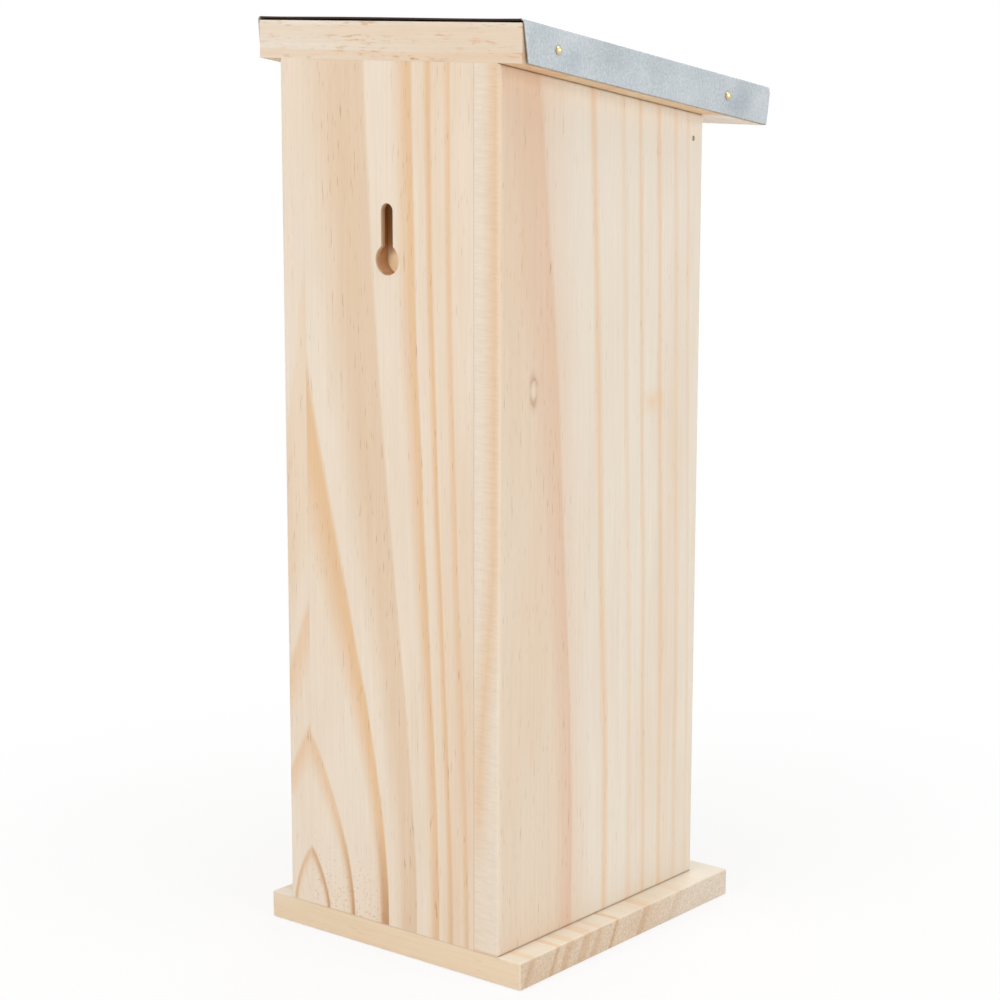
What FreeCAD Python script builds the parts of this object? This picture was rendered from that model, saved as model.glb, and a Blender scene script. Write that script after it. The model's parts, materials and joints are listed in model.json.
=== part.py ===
import FreeCAD, Part
import math
import os

# Bee hotel: a tall pine box with a sloping, sheet-covered roof and a keyhole in its back. Shelves divide
# the inside into bays of drilled logs, branch sections and bamboo canes. A wire guard closes the front,
# swings up on two pins and is kept shut by a turn button.
# Millimetres and degrees. X runs to the right seen from the front, Y to the back, Z up. The origin is
# under the middle of the whole object, on the underside of the base.

# Box
board = 12.0                 # thickness of the two sides and the back
box_width = 108.0            # across the outer faces of the sides
box_depth = 128.0            # front edge to back edge of a side
back_height = 335.0          # back edge of a side, above the base
roof_pitch = 10.0            # fall of the roof to the front, degrees
side_round = 1.5             # rounding of the sides' outer upright edges

# Base
base_thickness = 11.0
base_side_lip = 10.5         # base beyond each side
base_front_lip = 11.0        # base beyond the sides' front edges
base_round = 0.8

# Keyhole, cut with an undercutting bit
keyhole_height = 261.6       # entry hole's centre, above the base
keyhole_entry = 11.5         # diameter of the entry hole and width of the undercut
keyhole_slot = 5.8           # width of the slot for the screw's neck
keyhole_rise = 18.2          # entry hole's centre to the slot's upper end centre
keyhole_lip = 2.3            # wood left in front of the undercut
keyhole_depth = 7.0

# Roof board
roof_thickness = 14.0
roof_side_overhang = 10.0
roof_front_overhang = 28.0   # underside beyond the sides' front edges, measured level
roof_round = 0.8

# Roof sheet, folded down at the sides and the front
sheet_thickness = 0.6
sheet_lift = 0.8             # air between the board's top and the sheet
flange_gap = 0.3             # air between the board's edges and the flanges
flange_short = 0.4           # flanges end this far above the board's underside
bend_radius = 0.6            # inside of the folds
flange_rake = 2.0            # back ends of the side flanges, cut forward at the bottom
tab_length = 17.0            # corner tab, from the side flange round over the front flange
tab_slant = 5.0              # slant of the tab's free end
tab_drop = 2.0               # tab's upper edge below the sheet's top
tab_gap = 0.1                # air between tab and front flange
corner_slit = 0.8            # front flange's ends to the side flanges

# Domed roof nails
dome_width = 3.5
dome_height = 1.1
nail_shank = 1.8
nail_length = 15.0
nail_point = 2.0
nail_level = 7.7             # above the board's underside, square to the slope
nail_back_inset = 19.0       # along the slope, from the back end
nail_front_inset = 29.0      # along the slope, from the front end
nail_tab_inset = 8.0         # front nails, from the sheet's corner

# Countersunk screws through the base and the roof board
screw_head = 6.4
screw_shank = 3.2
screw_length = 34.0
screw_point = 3.0
screw_sink = 0.4             # heads below the wood's face
screw_front_inset = 24.0     # from the sides' front edges
screw_back_inset = 36.0      # from the sides' back edges

# Shelves, housed in the sides
shelf_thickness = 10.0
shelf_housing = 3.0          # depth of the grooves in the sides
shelf_round = 0.8            # front edges
shelf_clearance = 0.5        # shelf front to the guard's staples
bay_headroom = 8.0           # free height over the logs and over the branch sections
cane_headroom = 22.0         # free height over the canes, under the roof at the sides' front edges

# Nest pieces, as wide as their count across the box allows
nest_gap = 0.25              # between neighbours and to the walls
nest_front_gap = 2.0         # foremost end to the guard's staples
nest_stagger = 3.0           # how unevenly the front ends lie
nest_steps = 7               # different depths of the front ends
nest_stride = 3              # steps from one piece's depth to the next one's
nest_end_wall = 12.0         # wood left behind the blind holes
log_columns = 2
log_rows = 2
log_bore = 10.0
log_side_bore = 5.0          # smaller holes round the main one
log_side_count = 4
log_side_ring = 12.5         # radius that the smaller holes lie on
log_turn = 30.0              # turn of the smaller holes from log to log, degrees
branch_columns = 3
branch_rows = 3
branch_bore = 8.5
cane_columns = 4
cane_rows = 5
cane_bore = 11.0

# Front guard
guard_thickness = 12.0
guard_setback = 1.0          # behind the sides' front edges
guard_side_gap = 1.0
guard_bottom_gap = 1.5
pivot_drop = 10.1            # pivot below the roof board's underside, measured upright
swing_clearance = 1.1        # guard's top edge to the roof board as it swings
top_rail_height = 20.0
bottom_rail_height = 11.0
cross_rail_height = 20.0
cross_rail_rise = 2.0        # upper edge above the shelf behind it
stile_width = 7.0
tenon_thickness = 4.0
tenon_length = 6.0           # stiles into the rails
cross_tenon_length = 3.0     # cross rails into the stiles
cross_tenon_width = 10.0
guard_round = 0.8

# Pivot pins
pin_shank = 1.6
pin_head = 2.0
pin_head_height = 0.6
pin_sink = 0.3               # head below the side's face
pin_length = 26.0
pin_point = 2.0
pin_clearance = 0.05         # all round, in the guard's top rail
pin_end_room = 1.0           # hole beyond the pin's point

# Wire mesh and its staples
mesh_columns = 4
mesh_rows = 15
mesh_wire = 1.2
mesh_margin = 3.0            # outer wires in from the guard's edges
mesh_pivot_room = 11.0       # uppermost wire below the pivot
staple_wire = 0.7
staple_width = 4.6
staple_leg = 6.0
staple_inset = 0.3           # staples from the ends of a stile's free stretch, as a share of it

# Turn button, on the right side's front edge
button_width = 8.0
button_thickness = 2.0
button_long_arm = 17.0       # from the screw's centre, towards the guard when shut
button_short_arm = 6.0
button_height = 64.0         # screw's centre above the base
button_play = 0.2            # air before and behind the button
button_screw_head = 6.6
button_screw_dome = 2.2
button_screw_shank = 3.0
button_screw_length = 16.0
button_clearance = 0.08      # button's hole round the screw

# Places worked out from the dimensions
pitch = math.radians(roof_pitch)
half_box = box_width / 2
inner_half = half_box - board
roof_half = half_box + roof_side_overhang
roof_length = (box_depth + roof_front_overhang) / math.cos(pitch)
sheet_inner_top = roof_thickness + sheet_lift
sheet_top = sheet_inner_top + sheet_thickness
flange_inner = roof_half + flange_gap
flange_outer = flange_inner + sheet_thickness
front_inner = roof_length + flange_gap
front_outer = front_inner + sheet_thickness
tab_inner = front_outer + tab_gap
tab_outer = tab_inner + sheet_thickness
front_reach = (tab_outer + dome_height) * math.cos(pitch) + nail_level * math.sin(pitch)
y_back = front_reach / 2
y_front = y_back - box_depth
y_inner_back = y_back - board
z_floor = base_thickness
z_eaves = z_floor + back_height


def roof_underside(y):
    """Height of the roof board's underside at a depth y."""
    return z_eaves - (y_back - y) * math.tan(pitch)


guard_front = y_front + guard_setback
guard_back = guard_front + guard_thickness
guard_half = inner_half - guard_side_gap
guard_bottom = z_floor + guard_bottom_gap
pivot_y = guard_front + guard_thickness / 2
pivot_z = roof_underside(pivot_y) - pivot_drop
swing_radius = pivot_drop * math.cos(pitch) - swing_clearance
guard_top = pivot_z + math.sqrt(swing_radius ** 2 - (guard_thickness / 2) ** 2)
top_rail_bottom = guard_top - top_rail_height
bottom_rail_top = guard_bottom + bottom_rail_height
staple_back = guard_back + mesh_wire + staple_wire
shelf_front = staple_back + shelf_clearance
nest_front = staple_back + nest_front_gap
button_x = half_box - board / 2
button_z = z_floor + button_height

# The mesh's wires, from the guard's size
mesh_half = guard_half - mesh_margin
mesh_low = guard_bottom + bottom_rail_height / 2
mesh_pitch_x = 2 * mesh_half / mesh_columns
mesh_pitch_z = (pivot_z - mesh_pivot_room - mesh_low) / mesh_rows


def full_step(columns):
    """Spacing of round pieces that fill a row from wall to wall."""
    return (2 * inner_half - nest_gap) / columns


def nested_height(rows):
    """Height of nested rows, each in the hollows of the one below, in steps from piece to piece."""
    return 1 + (rows - 1) * math.cos(math.radians(30))


# The nest pieces' diameters: full rows across, or all smaller alike where a low box would be overfull
nest_tall = (
    log_rows * full_step(log_columns) + nested_height(branch_rows) * full_step(branch_columns)
    + nested_height(cane_rows) * full_step(cane_columns))
nest_room = roof_underside(y_front) - cane_headroom - z_floor - 2 * (shelf_thickness + bay_headroom)
nest_scale = min(1, nest_room / nest_tall)
log_diameter = nest_scale * full_step(log_columns) - nest_gap
branch_diameter = nest_scale * full_step(branch_columns) - nest_gap
cane_diameter = nest_scale * full_step(cane_columns) - nest_gap

# The shelves, over what stands below them: logs straight above each other, branch sections nested
lower_shelf_z = z_floor + log_rows * (log_diameter + nest_gap) + bay_headroom
branch_floor_z = lower_shelf_z + shelf_thickness
upper_shelf_z = branch_floor_z + nested_height(branch_rows) * (branch_diameter + nest_gap) + bay_headroom
cane_floor_z = upper_shelf_z + shelf_thickness

# The roof's own frame: X across, Y up the slope to the back, Z square to the slope. Its origin is the
# back end of the board's underside.
roof_frame = FreeCAD.Placement(
    FreeCAD.Vector(0, y_back, z_eaves),
    FreeCAD.Rotation(FreeCAD.Vector(1, 0, 0), roof_pitch))

TO_LEFT = FreeCAD.Rotation(FreeCAD.Vector(0, 1, 0), -90)
TO_RIGHT = FreeCAD.Rotation(FreeCAD.Vector(0, 1, 0), 90)
TO_FRONT = FreeCAD.Rotation(FreeCAD.Vector(1, 0, 0), 90)
TO_BELOW = FreeCAD.Rotation(FreeCAD.Vector(1, 0, 0), 180)
UPRIGHT = FreeCAD.Rotation()
OVERRUN = 5.0                # how far a cutting shape runs past what it cuts


def block(x0, x1, y0, y1, z0, z1):
    """A box between two corners."""
    return Part.makeBox(x1 - x0, y1 - y0, z1 - z0, FreeCAD.Vector(x0, y0, z0))


def prism_across(points, x0, x1):
    """A closed outline of (y, z) points, carried along X."""
    corners = [FreeCAD.Vector(x0, y, z) for y, z in points]
    face = Part.Face(Part.makePolygon(corners + corners[:1]))
    return face.extrude(FreeCAD.Vector(x1 - x0, 0, 0))


def prism_deep(points, y0, y1):
    """A closed outline of (x, z) points, carried along Y."""
    corners = [FreeCAD.Vector(x, y0, z) for x, z in points]
    face = Part.Face(Part.makePolygon(corners + corners[:1]))
    return face.extrude(FreeCAD.Vector(0, y1 - y0, 0))


def rod(x, z, diameter, y0, y1):
    """A cylinder along Y."""
    return Part.makeCylinder(diameter / 2, y1 - y0, FreeCAD.Vector(x, y0, z), FreeCAD.Vector(0, 1, 0))


def turned(edges):
    """A solid of revolution about Z, from the edges of its half outline in XZ."""
    face = Part.Face(Part.Wire(edges))
    return face.revolve(FreeCAD.Vector(0, 0, 0), FreeCAD.Vector(0, 0, 1), 360)


def outline(points):
    """Straight edges through (radius, height) points, in XZ."""
    corners = [FreeCAD.Vector(r, 0, h) for r, h in points]
    return [Part.LineSegment(a, b).toShape() for a, b in zip(corners, corners[1:])]


def dome_cap(width, height):
    """The arc of a spherical cap, from its crown to its rim, in XZ."""
    rim = width / 2
    radius = (rim ** 2 + height ** 2) / (2 * height)
    half_angle = math.asin(rim / radius) / 2
    middle = FreeCAD.Vector(radius * math.sin(half_angle), 0, height - radius + radius * math.cos(half_angle))
    return Part.Arc(FreeCAD.Vector(0, 0, height), middle, FreeCAD.Vector(rim, 0, 0)).toShape()


def placed(shape, position, rotation):
    """A copy of a shape, turned and then moved."""
    copy = shape.copy()
    copy.Placement = FreeCAD.Placement(FreeCAD.Vector(*position), rotation)
    return copy


def on_roof(shape):
    """A shape made in the roof's own frame, carried to its place."""
    copy = shape.copy()
    copy.Placement = roof_frame.multiply(copy.Placement)
    return copy


def eased(shape, radius, chosen):
    """Rounds the edges whose end points all satisfy a test."""
    edges = [e for e in shape.Edges if all(chosen(v.Point) for v in e.Vertexes)]
    return shape.makeFillet(radius, edges)


def near(a, b):
    """Whether two lengths agree."""
    return abs(a - b) < 1e-6


# Fasteners, each made with its head at the origin and its point down

def countersunk_screw():
    """A screw with a flat conical head."""
    head = screw_head / 2
    shank = screw_shank / 2
    return turned(outline([
        (0, 0), (head, 0), (shank, shank - head), (shank, screw_point - screw_length),
        (0, -screw_length), (0, 0)]))


def screw_with_sink():
    """The screw and the recess over its head, for cutting its hole."""
    recess = Part.makeCylinder(screw_head / 2, screw_sink + OVERRUN)
    return countersunk_screw().fuse(recess)


def domed_nail():
    """A nail with a low domed head that seats on the sheet."""
    shank = nail_shank / 2
    edges = [dome_cap(dome_width, dome_height)]
    edges += outline([
        (dome_width / 2, 0), (shank, 0), (shank, nail_point - nail_length), (0, -nail_length),
        (0, dome_height)])
    return turned(edges)


def pivot_pin():
    """A pin with a small flat head."""
    head = pin_head / 2
    shank = pin_shank / 2
    return turned(outline([
        (0, 0), (head, 0), (head, -pin_head_height), (shank, -pin_head_height),
        (shank, pin_point - pin_length), (0, -pin_length), (0, 0)]))


def roof_nails(side):
    """The two nails through one side flange: side is -1 on the left and 1 on the right."""
    turn = TO_RIGHT if side > 0 else TO_LEFT
    slope_places = (-nail_back_inset, nail_front_inset - roof_length)
    nails = [placed(domed_nail(), (side * flange_outer, y, nail_level), turn) for y in slope_places]
    return Part.makeCompound([on_roof(nail) for nail in nails])


def roof_nails_front():
    """The two nails through the corner tabs and the front flange."""
    x = flange_outer - nail_tab_inset
    nails = [placed(domed_nail(), (side * x, -tab_outer, nail_level), TO_FRONT) for side in (-1, 1)]
    return Part.makeCompound([on_roof(nail) for nail in nails])


def base_screw_places():
    """Places of the base screws: two in each side's lower edge and one in the back's."""
    sides = [(side * (half_box - board / 2), y) for side in (-1, 1)
             for y in (y_front + screw_front_inset, y_back - screw_back_inset)]
    return sides + [(0, y_back - board / 2)]


def base_screws(screw, sink):
    """Screws, or their cutting shapes, driven up through the base."""
    return Part.makeCompound([placed(screw, (x, y, sink), TO_BELOW) for x, y in base_screw_places()])


def roof_screws(screw, sink):
    """Screws, or their cutting shapes, driven down through the roof board, square to the slope."""
    level = roof_thickness - sink
    slope = [(x, (y - y_back) / math.cos(pitch)) for x, y in base_screw_places()]
    return Part.makeCompound([on_roof(placed(screw, (x, y, level), UPRIGHT)) for x, y in slope])


def pin_place(side):
    """Where a pivot pin's head sits, and the turn that points its head outwards."""
    return (side * (half_box - pin_sink), pivot_y, pivot_z), TO_RIGHT if side > 0 else TO_LEFT


def pin_cut(side):
    """A pivot pin with the recess over its head, for cutting the side panel."""
    recess = Part.makeCylinder(pin_head / 2, pin_sink + OVERRUN)
    return placed(pivot_pin().fuse(recess), *pin_place(side))


def button_screw():
    """The round-headed screw that the turn button turns on, driven in from the front."""
    shank = button_screw_shank / 2
    edges = [dome_cap(button_screw_head, button_screw_dome)]
    edges += outline([
        (button_screw_head / 2, 0), (shank, 0), (shank, screw_point - button_screw_length),
        (0, -button_screw_length), (0, button_screw_dome)])
    seat = y_front - button_thickness - 2 * button_play
    return placed(turned(edges), (button_x, seat, button_z), TO_FRONT)


# Boards

def base_board():
    """The base, lipped at the sides and the front and flush with the back."""
    half = half_box + base_side_lip
    front = y_front - base_front_lip
    panel = block(-half, half, front, y_back, 0, base_thickness)
    panel = eased(panel, base_round, lambda p: near(p.y, front) or near(abs(p.x), half))
    return panel.cut(base_screws(screw_with_sink(), screw_sink))


def side_panel(side):
    """One side: its top follows the roof, and its inner face has the shelves' stopped grooves."""
    section = [
        (y_back, z_floor), (y_back, roof_underside(y_back)),
        (y_front, roof_underside(y_front)), (y_front, z_floor)]
    panel = prism_across(section, side * inner_half, side * half_box)
    panel = eased(panel, side_round, lambda p: near(abs(p.x), half_box))
    panel = panel.cut([shelf(lower_shelf_z), shelf(upper_shelf_z), pin_cut(side)])
    panel = panel.cut(base_screws(countersunk_screw(), screw_sink))
    panel = panel.cut(roof_screws(countersunk_screw(), screw_sink))
    return panel.cut(button_screw()) if side > 0 else panel


def keyhole():
    """The cut of the keyhole: a round entry, a slot above it and a wider undercut behind the slot."""
    z_entry = z_floor + keyhole_height
    z_end = z_entry + keyhole_rise
    back = y_back + OVERRUN
    deep = y_back - keyhole_depth
    lip = y_back - keyhole_lip
    entry = rod(0, z_entry, keyhole_entry, deep, back)
    slot = block(-keyhole_slot / 2, keyhole_slot / 2, lip, back, z_entry, z_end)
    slot = slot.fuse(rod(0, z_end, keyhole_slot, lip, back))
    undercut = block(-keyhole_entry / 2, keyhole_entry / 2, deep, lip, z_entry, z_end)
    undercut = undercut.fuse(rod(0, z_end, keyhole_entry, deep, lip))
    return entry.fuse([slot, undercut]).removeSplitter()


def back_panel():
    """The back, between the sides and flush with their back edges."""
    section = [
        (y_inner_back, z_floor), (y_inner_back, roof_underside(y_inner_back)),
        (y_back, roof_underside(y_back)), (y_back, z_floor)]
    panel = prism_across(section, -inner_half, inner_half).cut(keyhole())
    panel = panel.cut(base_screws(countersunk_screw(), screw_sink))
    return panel.cut(roof_screws(countersunk_screw(), screw_sink))


def roof_board():
    """The roof board, cut upright at the back and square to the slope at the front."""
    section = [
        (0, 0), (roof_thickness * math.tan(pitch), roof_thickness),
        (-roof_length, roof_thickness), (-roof_length, 0)]
    panel = prism_across(section, -roof_half, roof_half)
    panel = eased(panel, roof_round, lambda p: near(p.z, 0) and not near(p.y, 0) or near(p.y, -roof_length))
    panel = on_roof(panel).cut(roof_screws(screw_with_sink(), screw_sink))
    return panel.cut([roof_nails(-1), roof_nails(1), roof_nails_front()])


def shelf(z):
    """A shelf whose ends sit in the sides' grooves."""
    half = inner_half + shelf_housing
    panel = block(-half, half, shelf_front, y_inner_back, z, z + shelf_thickness)
    return eased(panel, shelf_round, lambda p: near(p.y, shelf_front))


# Roof sheet, in the roof's own frame

def sheet_channel():
    """The sheet's top and its two side flanges, before the back is trimmed."""
    outer_bend = bend_radius + sheet_thickness
    outer = block(-flange_outer, flange_outer, -front_inner, OVERRUN, flange_short, sheet_top)
    outer = eased(outer, outer_bend, lambda p: near(abs(p.x), flange_outer) and near(p.z, sheet_top))
    inner = block(-flange_inner, flange_inner, -front_inner - OVERRUN, 2 * OVERRUN, -OVERRUN, sheet_inner_top)
    inner = eased(inner, bend_radius, lambda p: near(abs(p.x), flange_inner) and near(p.z, sheet_inner_top))
    return outer.cut(inner)


def sheet_front_flange():
    """The front flange with its fold, slit from the side flanges."""
    half = flange_inner - corner_slit
    outer_bend = bend_radius + sheet_thickness
    outer = block(-half, half, -front_outer, -roof_length + OVERRUN, flange_short, sheet_top)
    outer = eased(outer, outer_bend, lambda p: near(p.y, -front_outer) and near(p.z, sheet_top))
    inner = block(-half - OVERRUN, half + OVERRUN, -front_inner, OVERRUN, -OVERRUN, sheet_inner_top)
    inner = eased(inner, bend_radius, lambda p: near(p.y, -front_inner) and near(p.z, sheet_inner_top))
    return outer.cut(inner)


def sheet_tab(side):
    """A side flange's end, folded round the corner over the front flange."""
    top = sheet_top - tab_drop
    free_end = flange_outer - tab_length
    section = [
        (side * flange_outer, flange_short), (side * flange_outer, top),
        (side * (free_end + tab_slant), top), (side * free_end, flange_short)]
    tab = prism_deep(section, -tab_outer, -tab_inner)
    x_faces = sorted((side * flange_inner, side * flange_outer))
    link = block(*x_faces, -tab_outer, -front_inner, flange_short, top)
    folded = tab.fuse(link).removeSplitter()
    return eased(folded, sheet_thickness, lambda p: near(abs(p.x), flange_outer) and near(p.y, -tab_outer))


def sheet_back_trim():
    """What is cut off the sheet's back: level with the board on top, raked forward down the flanges."""
    top = sheet_top * math.tan(pitch)
    bottom = flange_short * math.tan(pitch) - flange_rake
    slope = (top - bottom) / (sheet_top - flange_short)
    low = bottom - slope * OVERRUN
    high = top + slope * OVERRUN
    past = high + OVERRUN
    section = [
        (low, flange_short - OVERRUN), (high, sheet_top + OVERRUN),
        (past, sheet_top + OVERRUN), (past, flange_short - OVERRUN)]
    return prism_across(section, -flange_outer - OVERRUN, flange_outer + OVERRUN)


def roof_sheet():
    """The folded sheet over the roof board, with the nails' holes."""
    sheet = sheet_channel().fuse([sheet_front_flange(), sheet_tab(-1), sheet_tab(1)])
    sheet = on_roof(sheet.cut(sheet_back_trim()).removeSplitter())
    return sheet.cut([roof_nails(-1), roof_nails(1), roof_nails_front()])


# Nest pieces

def stacked_places(diameter, columns, rows, floor_z, nested):
    """Centres (x, z) of round pieces stacked in a bay. Full rows reach both walls. Nested rows lie in the
    hollows of the row below, and the others stand straight above each other."""
    step = diameter + nest_gap
    spread = (2 * inner_half - 2 * nest_gap - diameter) / (columns - 1)
    rise = math.sqrt(step ** 2 - (spread / 2) ** 2) if nested else step
    places = []
    for row in range(rows):
        count = columns - row % 2 if nested else columns
        z = floor_z + nest_gap + diameter / 2 + row * rise
        places += [((i - (count - 1) / 2) * spread, z) for i in range(count)]
    return places


def nest_end(number):
    """Depth of a nest piece's front end. A stride through a few steps makes the ends uneven."""
    return nest_front + nest_stagger * (number * nest_stride % nest_steps) / (nest_steps - 1)


def nest_hole(number, x, z, bore):
    """The cut of a blind hole from a nest piece's front end."""
    return rod(x, z, bore, nest_end(number) - OVERRUN, y_inner_back - nest_end_wall)


def nest_piece(number, place, diameter, bore):
    """A round piece that reaches the back panel, with one blind hole from the front."""
    whole = rod(*place, diameter, nest_end(number), y_inner_back)
    return whole.cut(nest_hole(number, *place, bore))


def log(number, place):
    """A log: the main hole, and a ring of smaller ones turned a little from log to log."""
    piece = nest_piece(number, place, log_diameter, log_bore)
    for i in range(log_side_count):
        angle = math.radians(360 * i / log_side_count + log_turn * number)
        x = place[0] + log_side_ring * math.cos(angle)
        z = place[1] + log_side_ring * math.sin(angle)
        piece = piece.cut(nest_hole(number, x, z, log_side_bore))
    return piece


def nest_pieces():
    """All nest pieces by name: logs at the bottom, branch sections over them, canes at the top."""
    logs = stacked_places(log_diameter, log_columns, log_rows, z_floor, False)
    branches = stacked_places(branch_diameter, branch_columns, branch_rows, branch_floor_z, True)
    canes = stacked_places(cane_diameter, cane_columns, cane_rows, cane_floor_z, True)
    pieces = {f"log_{i + 1}": log(i, place) for i, place in enumerate(logs)}
    for i, place in enumerate(branches):
        pieces[f"branch_{i + 1}"] = nest_piece(i, place, branch_diameter, branch_bore)
    for i, place in enumerate(canes):
        pieces[f"cane_{i + 1:02d}"] = nest_piece(i, place, cane_diameter, cane_bore)
    return pieces


# Front guard

def guard_bar(x0, x1, z0, z1):
    """A bar of the guard's frame, with its front edges rounded."""
    bar = block(x0, x1, guard_front, guard_back, z0, z1)
    return eased(bar, guard_round, lambda p: near(p.y, guard_front))


def tenon(x0, x1, z0, z1):
    """A tongue in the middle of the frame's thickness."""
    return block(x0, x1, pivot_y - tenon_thickness / 2, pivot_y + tenon_thickness / 2, z0, z1)


def stile_tenons(side):
    """A stile's two tongues, into the top and the bottom rail."""
    x0, x1 = sorted((side * guard_half, side * (guard_half - stile_width)))
    upper = tenon(x0, x1, top_rail_bottom, top_rail_bottom + tenon_length)
    lower = tenon(x0, x1, bottom_rail_top - tenon_length, bottom_rail_top)
    return [upper, lower]


def cross_rail_bottom(shelf_z):
    """Lower edge of the cross rail in front of a shelf."""
    return shelf_z + shelf_thickness + cross_rail_rise - cross_rail_height


def cross_tenons(shelf_z):
    """A cross rail's two tongues, into the stiles."""
    half = guard_half - stile_width
    z0 = cross_rail_bottom(shelf_z) + (cross_rail_height - cross_tenon_width) / 2
    tongues = [sorted((side * half, side * (half + cross_tenon_length))) for side in (-1, 1)]
    return [tenon(*reach, z0, z0 + cross_tenon_width) for reach in tongues]


def guard_rail_top():
    """The rail that swings on the pins, with their holes in its ends."""
    rail = guard_bar(-guard_half, guard_half, top_rail_bottom, guard_top)
    radius = pin_shank / 2 + pin_clearance
    depth = half_box - pin_sink - pin_length - pin_end_room
    for side in (-1, 1):
        across = FreeCAD.Vector(-side, 0, 0)
        start = FreeCAD.Vector(side * half_box, pivot_y, pivot_z)
        rail = rail.cut(Part.makeCylinder(radius, half_box - depth, start, across))
        rail = rail.cut(stile_tenons(side))
    return rail


def guard_rail_bottom():
    """The lowest rail."""
    rail = guard_bar(-guard_half, guard_half, guard_bottom, bottom_rail_top)
    return rail.cut(stile_tenons(-1) + stile_tenons(1))


def guard_cross_rail(shelf_z):
    """A rail between the stiles, in front of a shelf."""
    half = guard_half - stile_width
    z0 = cross_rail_bottom(shelf_z)
    return guard_bar(-half, half, z0, z0 + cross_rail_height).fuse(cross_tenons(shelf_z)).removeSplitter()


def guard_stile(side):
    """An upright of the frame, between the top and the bottom rail."""
    x0, x1 = sorted((side * guard_half, side * (guard_half - stile_width)))
    stile = guard_bar(x0, x1, bottom_rail_top, top_rail_bottom).fuse(stile_tenons(side)).removeSplitter()
    stile = stile.cut(cross_tenons(lower_shelf_z) + cross_tenons(upper_shelf_z))
    return stile.cut(guard_staples())


def rectangle(x0, x1, z0, z1):
    """A closed rectangular wire on the guard's back face."""
    corners = ((x0, z0), (x1, z0), (x1, z1), (x0, z1), (x0, z0))
    return Part.makePolygon([FreeCAD.Vector(x, guard_back, z) for x, z in corners])


def mesh_gap(column, row):
    """The outline of one gap between the mesh's wires."""
    half = mesh_wire / 2
    x = column * mesh_pitch_x - mesh_half
    z = row * mesh_pitch_z + mesh_low
    return rectangle(x + half, x + mesh_pitch_x - half, z + half, z + mesh_pitch_z - half)


def guard_mesh():
    """The welded mesh on the guard's back, as one holed plate of the wire's thickness."""
    half = mesh_wire / 2
    top = mesh_low + mesh_rows * mesh_pitch_z
    edge = rectangle(-mesh_half - half, mesh_half + half, mesh_low - half, top + half)
    gaps = [mesh_gap(i, j) for i in range(mesh_columns) for j in range(mesh_rows)]
    net = Part.makeFace([edge] + gaps, "Part::FaceMakerBullseye")
    return net.extrude(FreeCAD.Vector(0, mesh_wire, 0))


def staple_places():
    """Centres of the staples, over the mesh's two outer wires: two in each stretch of a stile between rails,
    and each midway between the nearest cross wires."""
    ends = [bottom_rail_top]
    for shelf_z in (lower_shelf_z, upper_shelf_z):
        ends += [cross_rail_bottom(shelf_z), cross_rail_bottom(shelf_z) + cross_rail_height]
    ends.append(top_rail_bottom)
    wanted = [low + share * (high - low) for low, high in zip(ends[::2], ends[1::2])
              for share in (staple_inset, 1 - staple_inset)]
    levels = [mesh_low + (math.floor((z - mesh_low) / mesh_pitch_z) + 0.5) * mesh_pitch_z for z in wanted]
    return [(side * mesh_half, z) for side in (-1, 1) for z in levels]


def staple(x, z):
    """A wire staple across an upright mesh wire, with its legs in the frame."""
    half = staple_width / 2
    z0 = z - staple_wire / 2
    z1 = z + staple_wire / 2
    crown_y = guard_back + mesh_wire
    crown = block(x - half, x + half, crown_y, crown_y + staple_wire, z0, z1)
    left_leg = block(x - half, x - half + staple_wire, guard_back - staple_leg, crown_y, z0, z1)
    right_leg = block(x + half - staple_wire, x + half, guard_back - staple_leg, crown_y, z0, z1)
    return crown.fuse([left_leg, right_leg]).removeSplitter()


def guard_staples():
    """All staples that hold the mesh."""
    return Part.makeCompound([staple(x, z) for x, z in staple_places()])


def turn_button():
    """A flat bar with round ends. Its long arm hangs down at rest, clear of the guard."""
    back = y_front - button_play
    front = back - button_thickness
    half = button_width / 2
    low = button_z - button_long_arm + half
    high = button_z + button_short_arm - half
    ends = [rod(button_x, z, button_width, front, back) for z in (low, high)]
    bar = block(button_x - half, button_x + half, front, back, low, high).fuse(ends)
    hole = rod(button_x, button_z, button_screw_shank + 2 * button_clearance, front - OVERRUN, back + OVERRUN)
    return bar.removeSplitter().cut(hole)


nodes = {
    "base_board": base_board(),
    "side_panel_left": side_panel(-1),
    "side_panel_right": side_panel(1),
    "back_panel": back_panel(),
    "roof_board": roof_board(),
    "roof_sheet": roof_sheet(),
    "roof_nails_left": roof_nails(-1),
    "roof_nails_right": roof_nails(1),
    "roof_nails_front": roof_nails_front(),
    "roof_screws": roof_screws(countersunk_screw(), screw_sink),
    "base_screws": base_screws(countersunk_screw(), screw_sink),
    "shelf_lower": shelf(lower_shelf_z),
    "shelf_upper": shelf(upper_shelf_z),
    "pivot_pin_left": placed(pivot_pin(), *pin_place(-1)),
    "pivot_pin_right": placed(pivot_pin(), *pin_place(1)),
    "guard_rail_top": guard_rail_top(),
    "guard_rail_bottom": guard_rail_bottom(),
    "guard_rail_lower_cross": guard_cross_rail(lower_shelf_z),
    "guard_rail_upper_cross": guard_cross_rail(upper_shelf_z),
    "guard_stile_left": guard_stile(-1),
    "guard_stile_right": guard_stile(1),
    "guard_mesh": guard_mesh(),
    "guard_staples": guard_staples(),
    "turn_button": turn_button(),
    "turn_button_screw": button_screw(),
}
nodes.update(nest_pieces())

os.makedirs("parts", exist_ok=True)
for name, shape in nodes.items():
    shape.exportStep(f"parts/{name}.step")
print(len(nodes), "nodes")
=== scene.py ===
import json
import math

import bpy
import numpy as np
from bpy.props import FloatProperty, FloatVectorProperty, IntProperty, PointerProperty
from mathutils import Color, Matrix, Vector


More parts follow.
